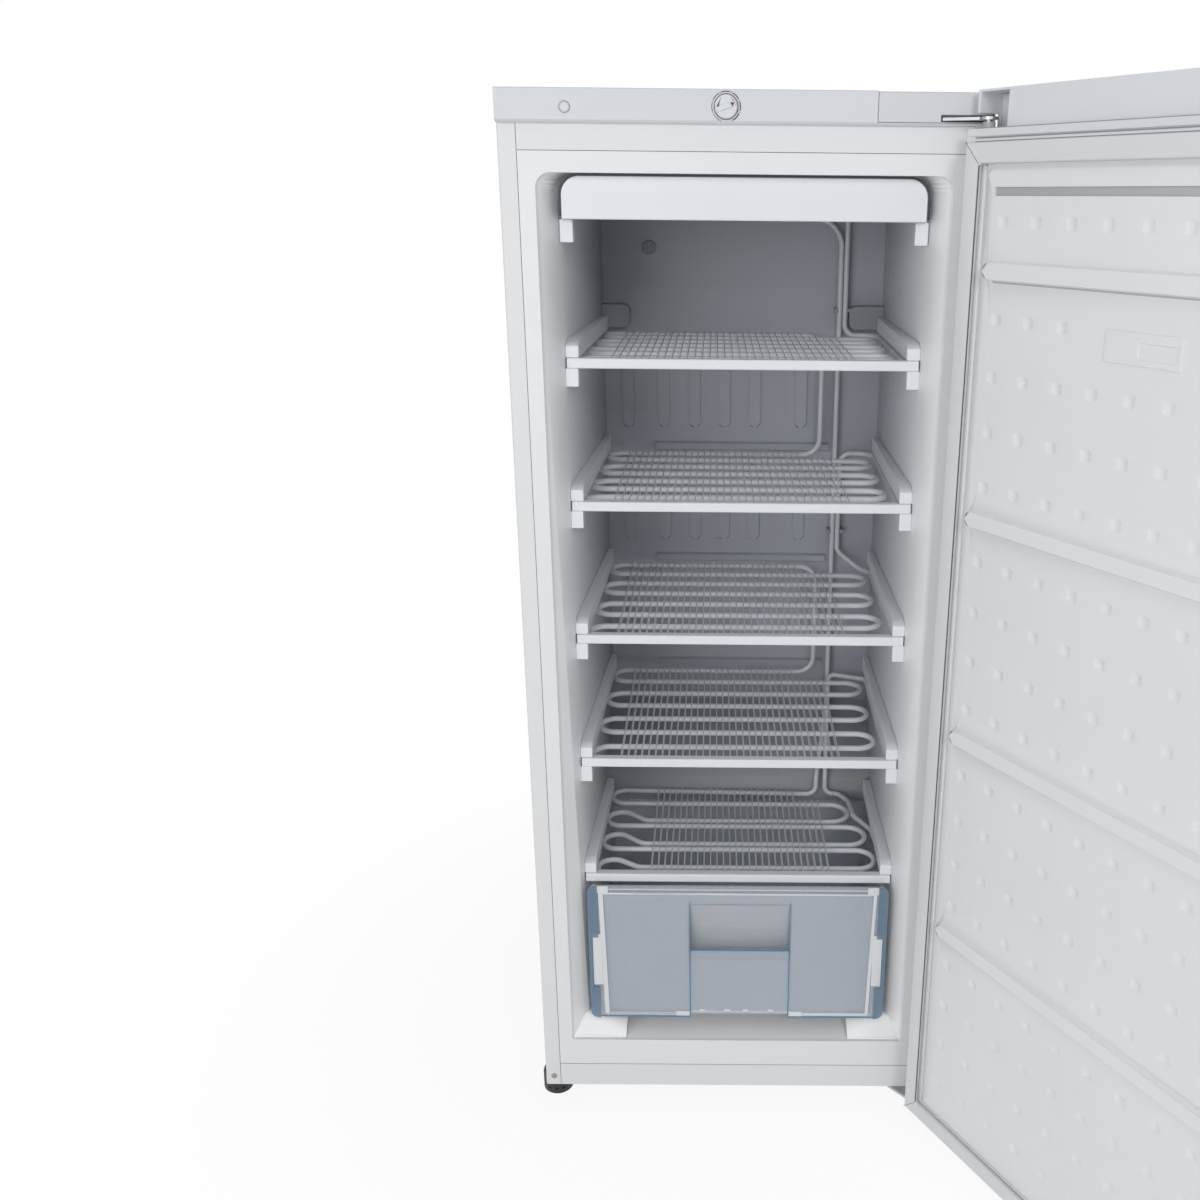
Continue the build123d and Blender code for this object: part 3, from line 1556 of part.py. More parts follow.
save("top_cover_strip", cover_strip())
save("top_evaporator", shelf_coil(top_coil_plane))
for i, plane in enumerate(tube_planes[:-1]):
    save(f"shelf_coil_{i + 1}", shelf_coil(plane, from_back=i < 2))
save(f"shelf_coil_{shelf_count}", low_shelf_coil())
for i, top in enumerate(trim_tops):
    save(f"shelf_trim_{i + 1}", shelf_trim(top))
save("shelf_wires", group(all_shelf_wires()))
save("side_rails", group(side_rails()))
save("support_lugs", group(support_lugs()))
save("link_tubes", group(link_tubes()))
save("suction_riser", suction_riser())
save("liner_fittings", group(tube_clips() + [liner_plug()] + corner_blocks()))

save("drawer_tub", drawer_tub())
save("drawer_bands", drawer_bands())
save("drawer_runners", group(drawer_runners()))

save("door_skin", door_skin_shape(), turned=True)
save("door_top_cap", door_top_cap(), turned=True)
save("door_bottom_cap", door_bottom_cap(), turned=True)
save("door_panel", door_panel(), turned=True)
save("door_foam", door_foam(), turned=True)
save("door_gasket", door_gasket(), turned=True)
save("door_bushes", door_bushes(), turned=True)
save("door_badge", door_badge(), turned=True)
save("grip_cup", grip_cup(), turned=True)

save("condenser_coil", condenser_coil())
save("condenser_wires", group(condenser_wires()))
save("condenser_brackets", group(condenser_brackets()))
save("compressor", compressor())
save("compressor_mounts", compressor_mounts())
save("starter_cover", starter_cover())
save("filter_drier", filter_drier())

foot_depths = {"front": foot_inset_y, "rear": cabinet_depth - foot_inset_y}
for depth_name, y in foot_depths.items():
    for side_name, side in (("left", -1), ("right", 1)):
        save(f"foot_{depth_name}_{side_name}", foot(side * foot_x, y))
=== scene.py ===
import json
import math
import bmesh
import bpy
from mathutils import Matrix, Vector


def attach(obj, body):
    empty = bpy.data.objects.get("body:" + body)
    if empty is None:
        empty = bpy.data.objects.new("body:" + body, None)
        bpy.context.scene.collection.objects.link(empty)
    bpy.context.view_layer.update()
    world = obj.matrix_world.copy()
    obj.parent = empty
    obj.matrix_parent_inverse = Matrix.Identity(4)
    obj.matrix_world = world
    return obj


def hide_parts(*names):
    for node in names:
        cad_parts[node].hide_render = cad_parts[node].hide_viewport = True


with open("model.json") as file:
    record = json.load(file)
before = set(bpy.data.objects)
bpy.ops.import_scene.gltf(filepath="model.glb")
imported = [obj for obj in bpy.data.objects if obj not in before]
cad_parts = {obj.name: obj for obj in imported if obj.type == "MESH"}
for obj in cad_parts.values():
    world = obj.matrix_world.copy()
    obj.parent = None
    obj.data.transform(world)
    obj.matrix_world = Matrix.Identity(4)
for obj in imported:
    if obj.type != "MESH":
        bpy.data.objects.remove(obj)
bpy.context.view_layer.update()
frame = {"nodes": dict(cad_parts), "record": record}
cadNodes = frame["nodes"]
nodeSlots = {part["node"]: part["material_slot"] for part in frame["record"]["subparts"]}
bodyNodes = frame["record"]["behaviour"]["bodies"]
nodeBodies = {node: body for body, nodes in bodyNodes.items() for node in nodes}
print("frame loaded:", len(cadNodes), "nodes")

# where the photographer stood, in metres and degrees; lens and sensor in mm
photoCamera = {
    "place": (-0.0033, -1.6474, 1.2512),
    "turnRight": 0.292,
    "lookDown": 18.604,
    "roll": 0.579,
    "lens": 35.61,
    "sensorWidth": 36,
    "shiftX": -0.1199,
    "farEnd": 60,
}


def makeCamera(setup):
    turn = math.radians(setup["turnRight"])
    down = math.radians(setup["lookDown"])
    roll = math.radians(setup["roll"])
    level = math.cos(down)
    ahead = Vector((math.sin(turn) * level, math.cos(turn) * level, -math.sin(down)))
    side = Vector((math.cos(turn), -math.sin(turn), 0))
    top = side.cross(ahead)
    right = math.cos(roll) * side + math.sin(roll) * top
    up = -math.sin(roll) * side + math.cos(roll) * top
    data = bpy.data.cameras.new("photoCamera")
    data.lens = setup["lens"]
    data.sensor_width = setup["sensorWidth"]
    data.shift_x = setup["shiftX"]
    data.clip_end = setup["farEnd"]
    camera = bpy.data.objects.new("photoCamera", data)
    bpy.context.scene.collection.objects.link(camera)
    turnMatrix = Matrix((right, up, -ahead)).transposed()
    camera.matrix_world = Matrix.Translation(setup["place"]) @ turnMatrix.to_4x4()
    bpy.context.scene.camera = camera


makeCamera(photoCamera)

# studio light: a soft lamp on the left, a smaller one high on the right, a weak one overhead;
# the floor shows its shadow near the cabinet and turns into the white background further out
studio = {
    "worldLevel": 0.36,
    "worldColor": (0.97, 0.985, 1.0, 1),
    "backColor": (1, 1, 1, 1),
    "lamps": {
        "keyLamp": {"place": (-1.8, -3.8, 1.3), "size": 2.2, "power": 58},
        "fillLamp": {"place": (0.9, -3.6, 2.5), "size": 0.9, "power": 28},
        "topLamp": {"place": (0.0, -0.9, 4.2), "size": 3.0, "power": 12},
    },
    "aim": (0.0, 0.0, 0.8),
    "floorSize": 30.0,
    "floorColor": (0.93, 0.93, 0.93, 1),
    "glowNear": 0.9,
    "glowFrom": 0.35,
    "glowTo": 0.95,
}


def makeLamp(name, place, size, power):
    data = bpy.data.lights.new(name, "AREA")
    data.shape = "SQUARE"
    data.size = size
    data.energy = power
    lamp = bpy.data.objects.new(name, data)
    bpy.context.scene.collection.objects.link(lamp)
    lamp.location = place
    toward = Vector(studio["aim"]) - Vector(place)
    lamp.rotation_euler = toward.to_track_quat("-Z", "Y").to_euler()


def seenDirectly(tree):
    # 1 for what the camera sees, also through clear plastic or in a gloss, else 0
    path = tree.nodes.new("ShaderNodeLightPath")
    seen = path.outputs["Is Camera Ray"]
    for ray in ("Is Transmission Ray", "Is Glossy Ray"):
        larger = tree.nodes.new("ShaderNodeMath")
        larger.operation = "MAXIMUM"
        tree.links.new(seen, larger.inputs[0])
        tree.links.new(path.outputs[ray], larger.inputs[1])
        seen = larger.outputs[0]
    return seen


def makeWorld():
    world = bpy.data.worlds.new("studio")
    bpy.context.scene.world = world
    world.use_nodes = True
    tree = world.node_tree
    tree.nodes.clear()
    out = tree.nodes.new("ShaderNodeOutputWorld")
    white = tree.nodes.new("ShaderNodeBackground")
    white.inputs["Color"].default_value = studio["backColor"]
    soft = tree.nodes.new("ShaderNodeBackground")
    soft.inputs["Color"].default_value = studio["worldColor"]
    soft.inputs["Strength"].default_value = studio["worldLevel"]
    mix = tree.nodes.new("ShaderNodeMixShader")
    tree.links.new(seenDirectly(tree), mix.inputs[0])
    tree.links.new(soft.outputs[0], mix.inputs[1])
    tree.links.new(white.outputs[0], mix.inputs[2])
    tree.links.new(mix.outputs[0], out.inputs["Surface"])


makeWorld()
for name, lamp in studio["lamps"].items():
    makeLamp(name, lamp["place"], lamp["size"], lamp["power"])
bpy.context.scene.view_settings.view_transform = "Standard"


def addRange(tree, value, low, high, outLow, outHigh):
    span = tree.nodes.new("ShaderNodeMapRange")
    span.inputs["From Min"].default_value = low
    span.inputs["From Max"].default_value = high
    span.inputs["To Min"].default_value = outLow
    span.inputs["To Max"].default_value = outHigh
    tree.links.new(value, span.inputs["Value"])
    return span.outputs["Result"]


def makeFloor():
    bpy.ops.mesh.primitive_plane_add(size=studio["floorSize"], location=(0, 0, 0))
    floor = bpy.context.active_object
    floor.name = "studioFloor"
    paint = bpy.data.materials.new("floorPaint")
    paint.use_nodes = True
    tree = paint.node_tree
    tree.nodes.clear()
    out = tree.nodes.new("ShaderNodeOutputMaterial")
    matte = tree.nodes.new("ShaderNodeBsdfDiffuse")
    matte.inputs["Color"].default_value = studio["floorColor"]
    glow = tree.nodes.new("ShaderNodeEmission")
    glow.inputs["Color"].default_value = studio["backColor"]
    place = tree.nodes.new("ShaderNodeTexCoord")
    reach = tree.nodes.new("ShaderNodeVectorMath")
    reach.operation = "LENGTH"
    tree.links.new(place.outputs["Object"], reach.inputs[0])
    away = reach.outputs["Value"]
    fade = addRange(tree, away, studio["glowFrom"], studio["glowTo"], studio["glowNear"], 1.0)
    share = tree.nodes.new("ShaderNodeMath")
    share.operation = "MULTIPLY"
    tree.links.new(seenDirectly(tree), share.inputs[0])
    tree.links.new(fade, share.inputs[1])
    mix = tree.nodes.new("ShaderNodeMixShader")
    tree.links.new(share.outputs[0], mix.inputs[0])
    tree.links.new(matte.outputs[0], mix.inputs[1])
    tree.links.new(glow.outputs[0], mix.inputs[2])
    tree.links.new(mix.outputs[0], out.inputs["Surface"])
    floor.data.materials.append(paint)


makeFloor()
print("studio ready")


# finishes: every pattern reads Object coordinates, in metres
def startFinish(name):
    paint = bpy.data.materials.new(name)
    paint.use_nodes = True
    return paint, paint.node_tree, paint.node_tree.nodes["Principled BSDF"]


def addNoise(tree, scale, detail=3.0):
    place = tree.nodes.new("ShaderNodeTexCoord")
    noise = tree.nodes.new("ShaderNodeTexNoise")
    noise.inputs["Scale"].default_value = scale
    noise.inputs["Detail"].default_value = detail
    tree.links.new(place.outputs["Object"], noise.inputs["Vector"])
    return noise.outputs["Fac"]


def addColorMix(tree, factor, first, second):
    mix = tree.nodes.new("ShaderNodeMix")
    mix.data_type = "RGBA"
    for socket, color in ((mix.inputs["A"], first), (mix.inputs["B"], second)):
        if isinstance(color, tuple):
            socket.default_value = tuple(color[:3]) + (1,)
        else:
            tree.links.new(color, socket)
    tree.links.new(factor, mix.inputs["Factor"])
    return mix.outputs["Result"]


def tinted(color, amount):
    return tuple(min(1, c * amount) for c in color)


def addCloud(tree, shader, cloud, color, low, high):
    shade = addColorMix(tree, cloud, tinted(color, low), tinted(color, high))
    tree.links.new(shade, shader.inputs["Base Color"])


def addRoughness(tree, shader, cloud, rough, spread):
    # noise lies mostly between 0.3 and 0.7
    value = addRange(tree, cloud, 0.3, 0.7, rough + spread[0], rough + spread[1])
    tree.links.new(value, shader.inputs["Roughness"])


def addBump(tree, shader, height, strength, distance):
    lift = tree.nodes.new("ShaderNodeBump")
    lift.inputs["Strength"].default_value = strength
    lift.inputs["Distance"].default_value = distance
    tree.links.new(height, lift.inputs["Height"])
    tree.links.new(lift.outputs["Normal"], shader.inputs["Normal"])


enamelLook = {
    "cloudScale": 5.0,
    "darkest": 0.97,
    "palest": 1.02,
    "roughScale": 40.0,
    "roughSpread": (-0.04, 0.05),
    "coatRough": 0.2,
    "peelScale": 420.0,
    "peelDetail": 1.0,
    "peelDepth": 0.0004,
}


def paintedSteel(name, color, rough=0.34, coat=0.25, peel=0.12):
    look = enamelLook
    paint, tree, shader = startFinish(name)
    cloud = addNoise(tree, look["cloudScale"])
    addCloud(tree, shader, cloud, color, look["darkest"], look["palest"])
    addRoughness(tree, shader, addNoise(tree, look["roughScale"]), rough, look["roughSpread"])
    shader.inputs["Coat Weight"].default_value = coat
    shader.inputs["Coat Roughness"].default_value = look["coatRough"]
    ripples = addNoise(tree, look["peelScale"], look["peelDetail"])
    addBump(tree, shader, ripples, peel, look["peelDepth"])
    return paint


plasticLook = {
    "cloudScale": 7.0,
    "cloudDetail": 2.0,
    "darkest": 0.97,
    "palest": 1.03,
    "roughScale": 90.0,
    "roughSpread": (-0.05, 0.06),
    "grainScale": 1500.0,
    "grainDetail": 2.0,
    "grainDepth": 0.0002,
}


def mouldedPlastic(name, color, rough=0.4, grain=0.08):
    look = plasticLook
    paint, tree, shader = startFinish(name)
    cloud = addNoise(tree, look["cloudScale"], look["cloudDetail"])
    addCloud(tree, shader, cloud, color, look["darkest"], look["palest"])
    addRoughness(tree, shader, addNoise(tree, look["roughScale"]), rough, look["roughSpread"])
    pits = addNoise(tree, look["grainScale"], look["grainDetail"])
    addBump(tree, shader, pits, grain, look["grainDepth"])
    return paint


metalLook = {
    "cloudScale": 60.0,
    "cloudDetail": 6.0,
    "darkest": 0.86,
    "palest": 1.08,
    "roughSpread": (-0.08, 0.12),
    "grainScale": 900.0,
    "grain": 0.1,
    "grainDepth": 0.0002,
}


def bareMetal(name, color, rough):
    look = metalLook
    paint, tree, shader = startFinish(name)
    shader.inputs["Metallic"].default_value = 1.0
    cloud = addNoise(tree, look["cloudScale"], look["cloudDetail"])
    addCloud(tree, shader, cloud, color, look["darkest"], look["palest"])
    addRoughness(tree, shader, cloud, rough, look["roughSpread"])
    pits = addNoise(tree, look["grainScale"])
    addBump(tree, shader, pits, look["grain"], look["grainDepth"])
    return paint


# the liner: white at its frame, with a painted highlight on its bevel and the front of its walls,
# and painted shade towards the back, deepest over the hump
linerLook = {
    "frameColor": (0.74, 0.745, 0.75),
    "bevelHighlightColor": (0.93, 0.93, 0.935),
    "roomShadeColor": (0.36, 0.38, 0.42),
    "lowRoomShadeColor": (0.17, 0.18, 0.20),
    "bevelFrom": -0.2395,
    "bevelTo": -0.234,
    "fadeFrom": -0.210,
    "fadeTo": 0.13,
    "lowRoomFrom": 0.42,
    "lowRoomTo": 0.56,
    "rough": 0.36,
    "roughScale": 60.0,
    "roughSpread": (-0.05, 0.06),
    "waveScale": 30.0,
    "waveDetail": 2.0,
    "wave": 0.25,
    "waveDepth": 0.0012,
}


def linerPlastic():
    look = linerLook
    paint, tree, shader = startFinish("linerPlastic")
    place = tree.nodes.new("ShaderNodeTexCoord")
    split = tree.nodes.new("ShaderNodeSeparateXYZ")
    tree.links.new(place.outputs["Object"], split.inputs["Vector"])
    y, z = split.outputs["Y"], split.outputs["Z"]
    # painted shade: the colour darkens towards the back and, behind the drawer, lower down
    depth = addRange(tree, y, look["fadeFrom"], look["fadeTo"], 0.0, 1.0)
    height = addRange(tree, z, look["lowRoomFrom"], look["lowRoomTo"], 0.0, 1.0)
    room = addColorMix(tree, height, look["lowRoomShadeColor"], look["roomShadeColor"])
    # painted highlight: the bevel and the front of the walls are paler than the frame
    edge = addRange(tree, y, look["bevelFrom"], look["bevelTo"], 0.0, 1.0)
    rim = addColorMix(tree, edge, look["frameColor"], look["bevelHighlightColor"])
    shade = addColorMix(tree, depth, rim, room)
    tree.links.new(shade, shader.inputs["Base Color"])
    cloud = addNoise(tree, look["roughScale"])
    addRoughness(tree, shader, cloud, look["rough"], look["roughSpread"])
    waves = addNoise(tree, look["waveScale"], look["waveDetail"])
    addBump(tree, shader, waves, look["wave"], look["waveDepth"])
    return paint


clearLook = {"cloudScale": 4.0, "cloudDetail": 0.0, "darkest": 0.96, "palest": 1.04, "rough": 0.12}


def drawerPlastic(name, color, alpha):
    look = clearLook
    paint, tree, shader = startFinish(name)
    cloud = addNoise(tree, look["cloudScale"], look["cloudDetail"])
    addCloud(tree, shader, cloud, color, look["darkest"], look["palest"])
    shader.inputs["Alpha"].default_value = alpha
    shader.inputs["Roughness"].default_value = look["rough"]
    return paint


foamLook = {
    "cellScale": 700.0,
    "cellColor": (0.86, 0.76, 0.48),
    "wallColor": (0.66, 0.55, 0.30),
    "rough": 0.85,
    "bump": 0.5,
    "bumpDepth": 0.0006,
}


def foamFinish():
    look = foamLook
    paint, tree, shader = startFinish("rigidFoam")
    cells = tree.nodes.new("ShaderNodeTexVoronoi")
    place = tree.nodes.new("ShaderNodeTexCoord")
    tree.links.new(place.outputs["Object"], cells.inputs["Vector"])
    cells.inputs["Scale"].default_value = look["cellScale"]
    walls = cells.outputs["Distance"]
    shade = addColorMix(tree, walls, look["cellColor"], look["wallColor"])
    tree.links.new(shade, shader.inputs["Base Color"])
    shader.inputs["Roughness"].default_value = look["rough"]
    addBump(tree, shader, walls, look["bump"], look["bumpDepth"])
    return paint


finishes = {
    "white_steel": paintedSteel("whiteEnamel", (0.72, 0.722, 0.73), rough=0.5, coat=0.0),
    "grey_steel": paintedSteel("greyPaint", (0.42, 0.43, 0.44), rough=0.42, coat=0.0, peel=0.2),
    "white_plastic": mouldedPlastic("whitePlastic", (0.72, 0.735, 0.76)),
    "coil_enamel": paintedSteel("coilEnamel", (0.60, 0.62, 0.65), rough=0.4, coat=0.0, peel=0.2),
    "black_plastic": mouldedPlastic("blackPlastic", (0.012, 0.012, 0.013), rough=0.42, grain=0.2),
    "black_steel": paintedSteel("blackEnamel", (0.012, 0.012, 0.012), peel=0.2),
    "zinc_steel": bareMetal("zincPlate", (0.42, 0.43, 0.44), rough=0.34),
    "grey_rubber": mouldedPlastic("sealVinyl", (0.70, 0.715, 0.725), rough=0.5, grain=0.15),
    "black_rubber": mouldedPlastic("blackRubber", (0.02, 0.02, 0.02), rough=0.7, grain=0.3),
    "insulation": foamFinish(),
    "clear_plastic": drawerPlastic("clearPlastic", (0.66, 0.71, 0.78), alpha=0.30),
    "blue_plastic": drawerPlastic("bluePlastic", (0.17, 0.27, 0.37), alpha=0.66),
    "knob_plastic": mouldedPlastic("knobPlastic", (0.66, 0.68, 0.70), rough=0.3),
    "dark_print": mouldedPlastic("darkPrint", (0.03, 0.03, 0.035)),
    "grey_plastic": mouldedPlastic("greyPlastic", (0.4, 0.4, 0.42)),
    "copper": bareMetal("copperTube", (0.72, 0.38, 0.24), rough=0.3),
}
liner = linerPlastic()
nodeFinishes = {
    "inner_liner": liner,
    "drawer_runners": liner,
    # the liner's fittings are painted dark grey: painted shade, matching the shaded walls round
    # them
    "liner_fittings": mouldedPlastic("fittingShadedPlastic", (0.27, 0.29, 0.32), rough=0.5),
    "indicator_lamp": mouldedPlastic("lampLens", (0.64, 0.655, 0.68), rough=0.35),
    "door_panel": mouldedPlastic("doorPanelPlastic", (0.77, 0.78, 0.785), rough=0.34, grain=0.03),
    "door_badge": mouldedPlastic("badgePlastic", (0.77, 0.78, 0.785), grain=0.03),
    # the control panel and the hinge cover are the white plastic painted darker: painted shade at
    # the top of the cabinet
    "control_panel": mouldedPlastic("panelShadedPlastic", (0.62, 0.635, 0.66), rough=0.42),
    "hinge_cover": mouldedPlastic("coverShadedPlastic", (0.59, 0.605, 0.63), rough=0.42),
}
seamPaint = mouldedPlastic("seamShade", (0.10, 0.105, 0.11), rough=0.6)
# black for the cover strip's seal, and for the painted shade in the top hinge slot
sealAndShadePaint = mouldedPlastic("stripSeal", (0.03, 0.034, 0.038), rough=0.5)
printPaint = mouldedPlastic("dialPrint", (0.035, 0.035, 0.04))
redPaint = mouldedPlastic("pointerRed", (0.13, 0.004, 0.014))
groovePaint = mouldedPlastic("grooveShade", (0.44, 0.455, 0.47), rough=0.6)
shadePaint = mouldedPlastic("ribShade", (0.60, 0.61, 0.62), rough=0.6)
linePaint = mouldedPlastic("softLine", (0.30, 0.31, 0.325), rough=0.6)
edgePaint = drawerPlastic("blueEdge", (0.10, 0.24, 0.38), alpha=0.85)
milkPaint = drawerPlastic("clearEdge", (0.86, 0.88, 0.90), alpha=0.72)
hazePaint = drawerPlastic("clearHaze", (0.76, 0.79, 0.83), alpha=0.26)

for node, piece in cadNodes.items():
    piece.data.materials.clear()
    piece.data.materials.append(nodeFinishes.get(node, finishes[nodeSlots[node]]))
print("finishes applied")

# pieces are made in mm from the middle of the cabinet's lower front edge, with the door shut
drawing = {"frontToMiddle": 240, "footHeight": 35, "perMetre": 1000}
doorHinge = {"pin": (263, -30.5), "open": 122.1}


def spot(x, y, z):
    place = Vector((x, y - drawing["frontToMiddle"], z + drawing["footHeight"]))
    return place / drawing["perMetre"]


def metres(length):
    return length / drawing["perMetre"]


def onCircle(center, radius, turn):
    return center + Vector((math.cos(turn), 0, math.sin(turn))) * radius / drawing["perMetre"]


def turnOpen(piece):
    pin = spot(*doorHinge["pin"], 0)
    away = Matrix.Translation(pin) @ Matrix.Rotation(math.radians(doorHinge["open"]), 4, "Z")
    piece.data.transform(away @ Matrix.Translation(-pin))


def chooseOnly(piece):
    bpy.ops.object.select_all(action="DESELECT")
    piece.select_set(True)
    bpy.context.view_layer.objects.active = piece


def softenEdges(piece, width, angle=35, segments=3):
    chooseOnly(piece)
    bevel = piece.modifiers.new("softEdge", "BEVEL")
    bevel.width = metres(width)
    bevel.segments = segments
    bevel.limit_method = "ANGLE"
    bevel.angle_limit = math.radians(angle)
    bevel.use_clamp_overlap = False
    bpy.ops.object.modifier_apply(modifier=bevel.name)


def finishPiece(piece, paint, body, smooth=35):
    chooseOnly(piece)
    bpy.ops.object.transform_apply(location=True, rotation=True, scale=True)
    bpy.ops.object.shade_smooth_by_angle(angle=math.radians(smooth))
    piece.data.materials.clear()
    piece.data.materials.append(paint)
    if body == "door":
        turnOpen(piece)
    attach(piece, body)
    return piece


def bar(name, low, high, paint, slot, body="cabinet", soft=0.15, turn=None):
    bpy.ops.object.select_all(action="DESELECT")
    low, high = spot(*low), spot(*high)
    bpy.ops.mesh.primitive_cube_add(size=1, location=(low + high) / 2)
    piece = bpy.context.active_object
    piece.name = name
    piece.scale = high - low
    if turn:
        piece.rotation_euler = turn
    bpy.ops.object.transform_apply(location=False, rotation=True, scale=True)
    softenEdges(piece, soft, segments=2)
    return finishPiece(piece, paint, body)


def joined(name, pieces):
    bpy.ops.object.select_all(action="DESELECT")
    for piece in pieces:
        piece.select_set(True)
    bpy.context.view_layer.objects.active = pieces[0]
    bpy.ops.object.join()
    pieces[0].name = name
    return pieces[0]


# how a carried piece's mesh is cleaned before its edges are softened, in metres and degrees
cleanUp = {"mergeWithin": 0.000002, "flatWithin": 0.5}


def softCopy(node, width, angle=35, segments=3, smooth=35):
    source = cadNodes[node]
    piece = source.copy()
    piece.data = source.data.copy()
    piece.name = node + "Finished"
    bpy.context.scene.collection.objects.link(piece)
    piece.parent = None
    chooseOnly(piece)
    bpy.ops.object.mode_set(mode="EDIT")
    bpy.ops.mesh.select_all(action="SELECT")
    bpy.ops.mesh.remove_doubles(threshold=cleanUp["mergeWithin"])
    if width:
        bpy.ops.mesh.dissolve_limited(angle_limit=math.radians(cleanUp["flatWithin"]))
    bpy.ops.object.mode_set(mode="OBJECT")
    if width:
        softenEdges(piece, width, angle, segments)
    chooseOnly(piece)
    bpy.ops.object.shade_smooth_by_angle(angle=math.radians(smooth))
    flatten = piece.modifiers.new("flatFaces", "WEIGHTED_NORMAL")
    flatten.keep_sharp = True
    bpy.ops.object.modifier_apply(modifier=flatten.name)
    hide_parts(node)
    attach(piece, nodeBodies[node])


shelfCount = 5

# softened edges: width in mm, least angle between the faces in degrees, segments
softWidths = {
    "top_cover_strip": (1.2, 50, 4),
    "side_rails": (1.5, 35, 3),
    "support_lugs": (1.2, 35, 3),
    "control_panel": (0.7, 35, 3),
    "hinge_cover": (0.6, 35, 3),
    "door_top_cap": (0.5, 50, 2),
    "door_bottom_cap": (0.5, 50, 2),
    "door_badge": (0.4, 50, 2),
    "thermostat_knob": (0.5, 40, 3),
    "liner_fittings": (0.8, 50, 3),
}
for i in range(1, shelfCount + 1):
    softWidths[f"shelf_trim_{i}"] = (0.5, 40, 3)
for node, (width, angle, segments) in softWidths.items():
    softCopy(node, width, angle, segments)

# round pieces and large mouldings, shaded smooth up to these angles in degrees
smoothAngles = {
    "drawer_runners": 50,
    "top_evaporator": 50,
    "link_tubes": 50,
    "suction_riser": 50,
    "condenser_coil": 50,
    "compressor": 50,
    "door_gasket": 50,
}
for i in range(1, shelfCount + 1):
    smoothAngles[f"shelf_coil_{i}"] = 50
smoothAngles["inner_liner"] = 14
smoothAngles["door_panel"] = 18
for node, smooth in smoothAngles.items():
    softCopy(node, 0, smooth=smooth)
print("soft copies made")

# thin dark seams between the wrap, the rails and the liner's frame
seams = {
    "x": 253.7,
    "low": 1.0,
    "high": 1295.0,
    "railZ": (1267.0, 36.2),
    "width": 0.7,
    "proud": 0.12,
    "sunk": 0.3,
    "endGap": 0.5,
    "soft": 0.05,
}


def makeSeams():
    half = seams["width"] / 2
    front, back = -seams["proud"], seams["sunk"]
    boxes = []
    for x in (-seams["x"], seams["x"]):
        boxes.append(((x - half, front, seams["low"]), (x + half, back, seams["high"])))
    reach = seams["x"] - seams["endGap"]
    for z in seams["railZ"]:
        boxes.append(((-reach, front, z - half), (reach, back, z + half)))
    pieces = []
    for low, high in boxes:
        pieces.append(bar("seam", low, high, seamPaint, "dark_print", soft=seams["soft"]))
    joined("seamLines", pieces)


makeSeams()

# black seal round the cover strip's top and sides
stripSeal = {
    "halfWidth": 209.6,
    "top": 1241.1,
    "bottom": 1197.0,
    "front": 19.7,
    "back": 27.0,
    "radius": 21.0,
    "cornerSegments": 14,
    "thick": 2.4,
    "soft": 0.4,
}
nearlyAlong = 0.9


def makeStripSeal():
    bpy.ops.object.select_all(action="DESELECT")
    low = spot(-stripSeal["halfWidth"], stripSeal["front"], stripSeal["bottom"])
    high = spot(stripSeal["halfWidth"], stripSeal["back"], stripSeal["top"])
    bpy.ops.mesh.primitive_cube_add(size=1, location=(low + high) / 2)
    piece = bpy.context.active_object
    piece.scale = high - low
    bpy.ops.object.transform_apply(location=True, rotation=False, scale=True)
    bpy.ops.object.mode_set(mode="EDIT")
    # only the top and the two sides stay
    mesh = bmesh.from_edit_mesh(piece.data)
    bpy.ops.mesh.select_all(action="DESELECT")
    bpy.ops.mesh.select_mode(type="FACE")
    for face in mesh.faces:
        face.select = abs(face.normal.y) > nearlyAlong or face.normal.z < -nearlyAlong
    bpy.ops.mesh.delete(type="FACE")
    # the two upper corners turn round
    bpy.ops.mesh.select_mode(type="EDGE")
    mesh = bmesh.from_edit_mesh(piece.data)
    middleZ = (low.z + high.z) / 2
    for edge in mesh.edges:
        first, second = (corner.co for corner in edge.verts)
        across = first - second
        edge.select = abs(across.y) > nearlyAlong * across.length and first.z > middleZ
    mesh.select_flush_mode()
    bmesh.update_edit_mesh(piece.data)
    bpy.ops.mesh.bevel(offset=metres(stripSeal["radius"]), segments=stripSeal["cornerSegments"])
    bpy.ops.object.mode_set(mode="OBJECT")
    wall = piece.modifiers.new("wall", "SOLIDIFY")
    wall.thickness = metres(stripSeal["thick"])
    wall.offset = 1
    wall.use_even_offset = True
    bpy.ops.object.modifier_apply(modifier=wall.name)
    piece.name = "coverStripSeal"
    softenEdges(piece, stripSeal["soft"], 50, 2)
    finishPiece(piece, sealAndShadePaint, "cabinet")


makeStripSeal()
print("cabinet details made")

# dial printed round the knob, with short ticks between its arcs, and the marks on the knob;
# the ticks are counted clockwise from the lower left, and the arcs grow from thin to thick
dial = {
    "x": -21.0,
    "z": 1313.0,
    "face": -8.0,
    "proud": 0.1,
    "printDepth": 0.3,
    "arcRadius": 15.6,
    "firstTick": 249.0,
    "tickPitch": 45.0,
    "arcCount": 7,
    "arcGap": 5.0,
    "arcSteps": 10,
    "thin": 0.65,
    "thick": 1.35,
    "rimRadius": 13.2,
    "rimWidth": 0.8,
    "rimSteps": 48,
    "tickRadius": 15.4,
    "tickSize": (1.9, 0.3, 0.5),
    "mergeWithin": 0.000001,
}
knobMarks = {
    "face": -13.6,
    "depth": 0.6,
    "soft": 0.12,
    "pointerCorners": 3,
    "pointerSize": 2.8,
    "pointerAngle": 21.0,
    "pointerRadius": 7.4,
    "dotCorners": 16,
    "dotSize": 1.0,
    "dotAngle": 173.0,
    "dotRadius": 8.8,
}


wholeTurn = (0, 360)


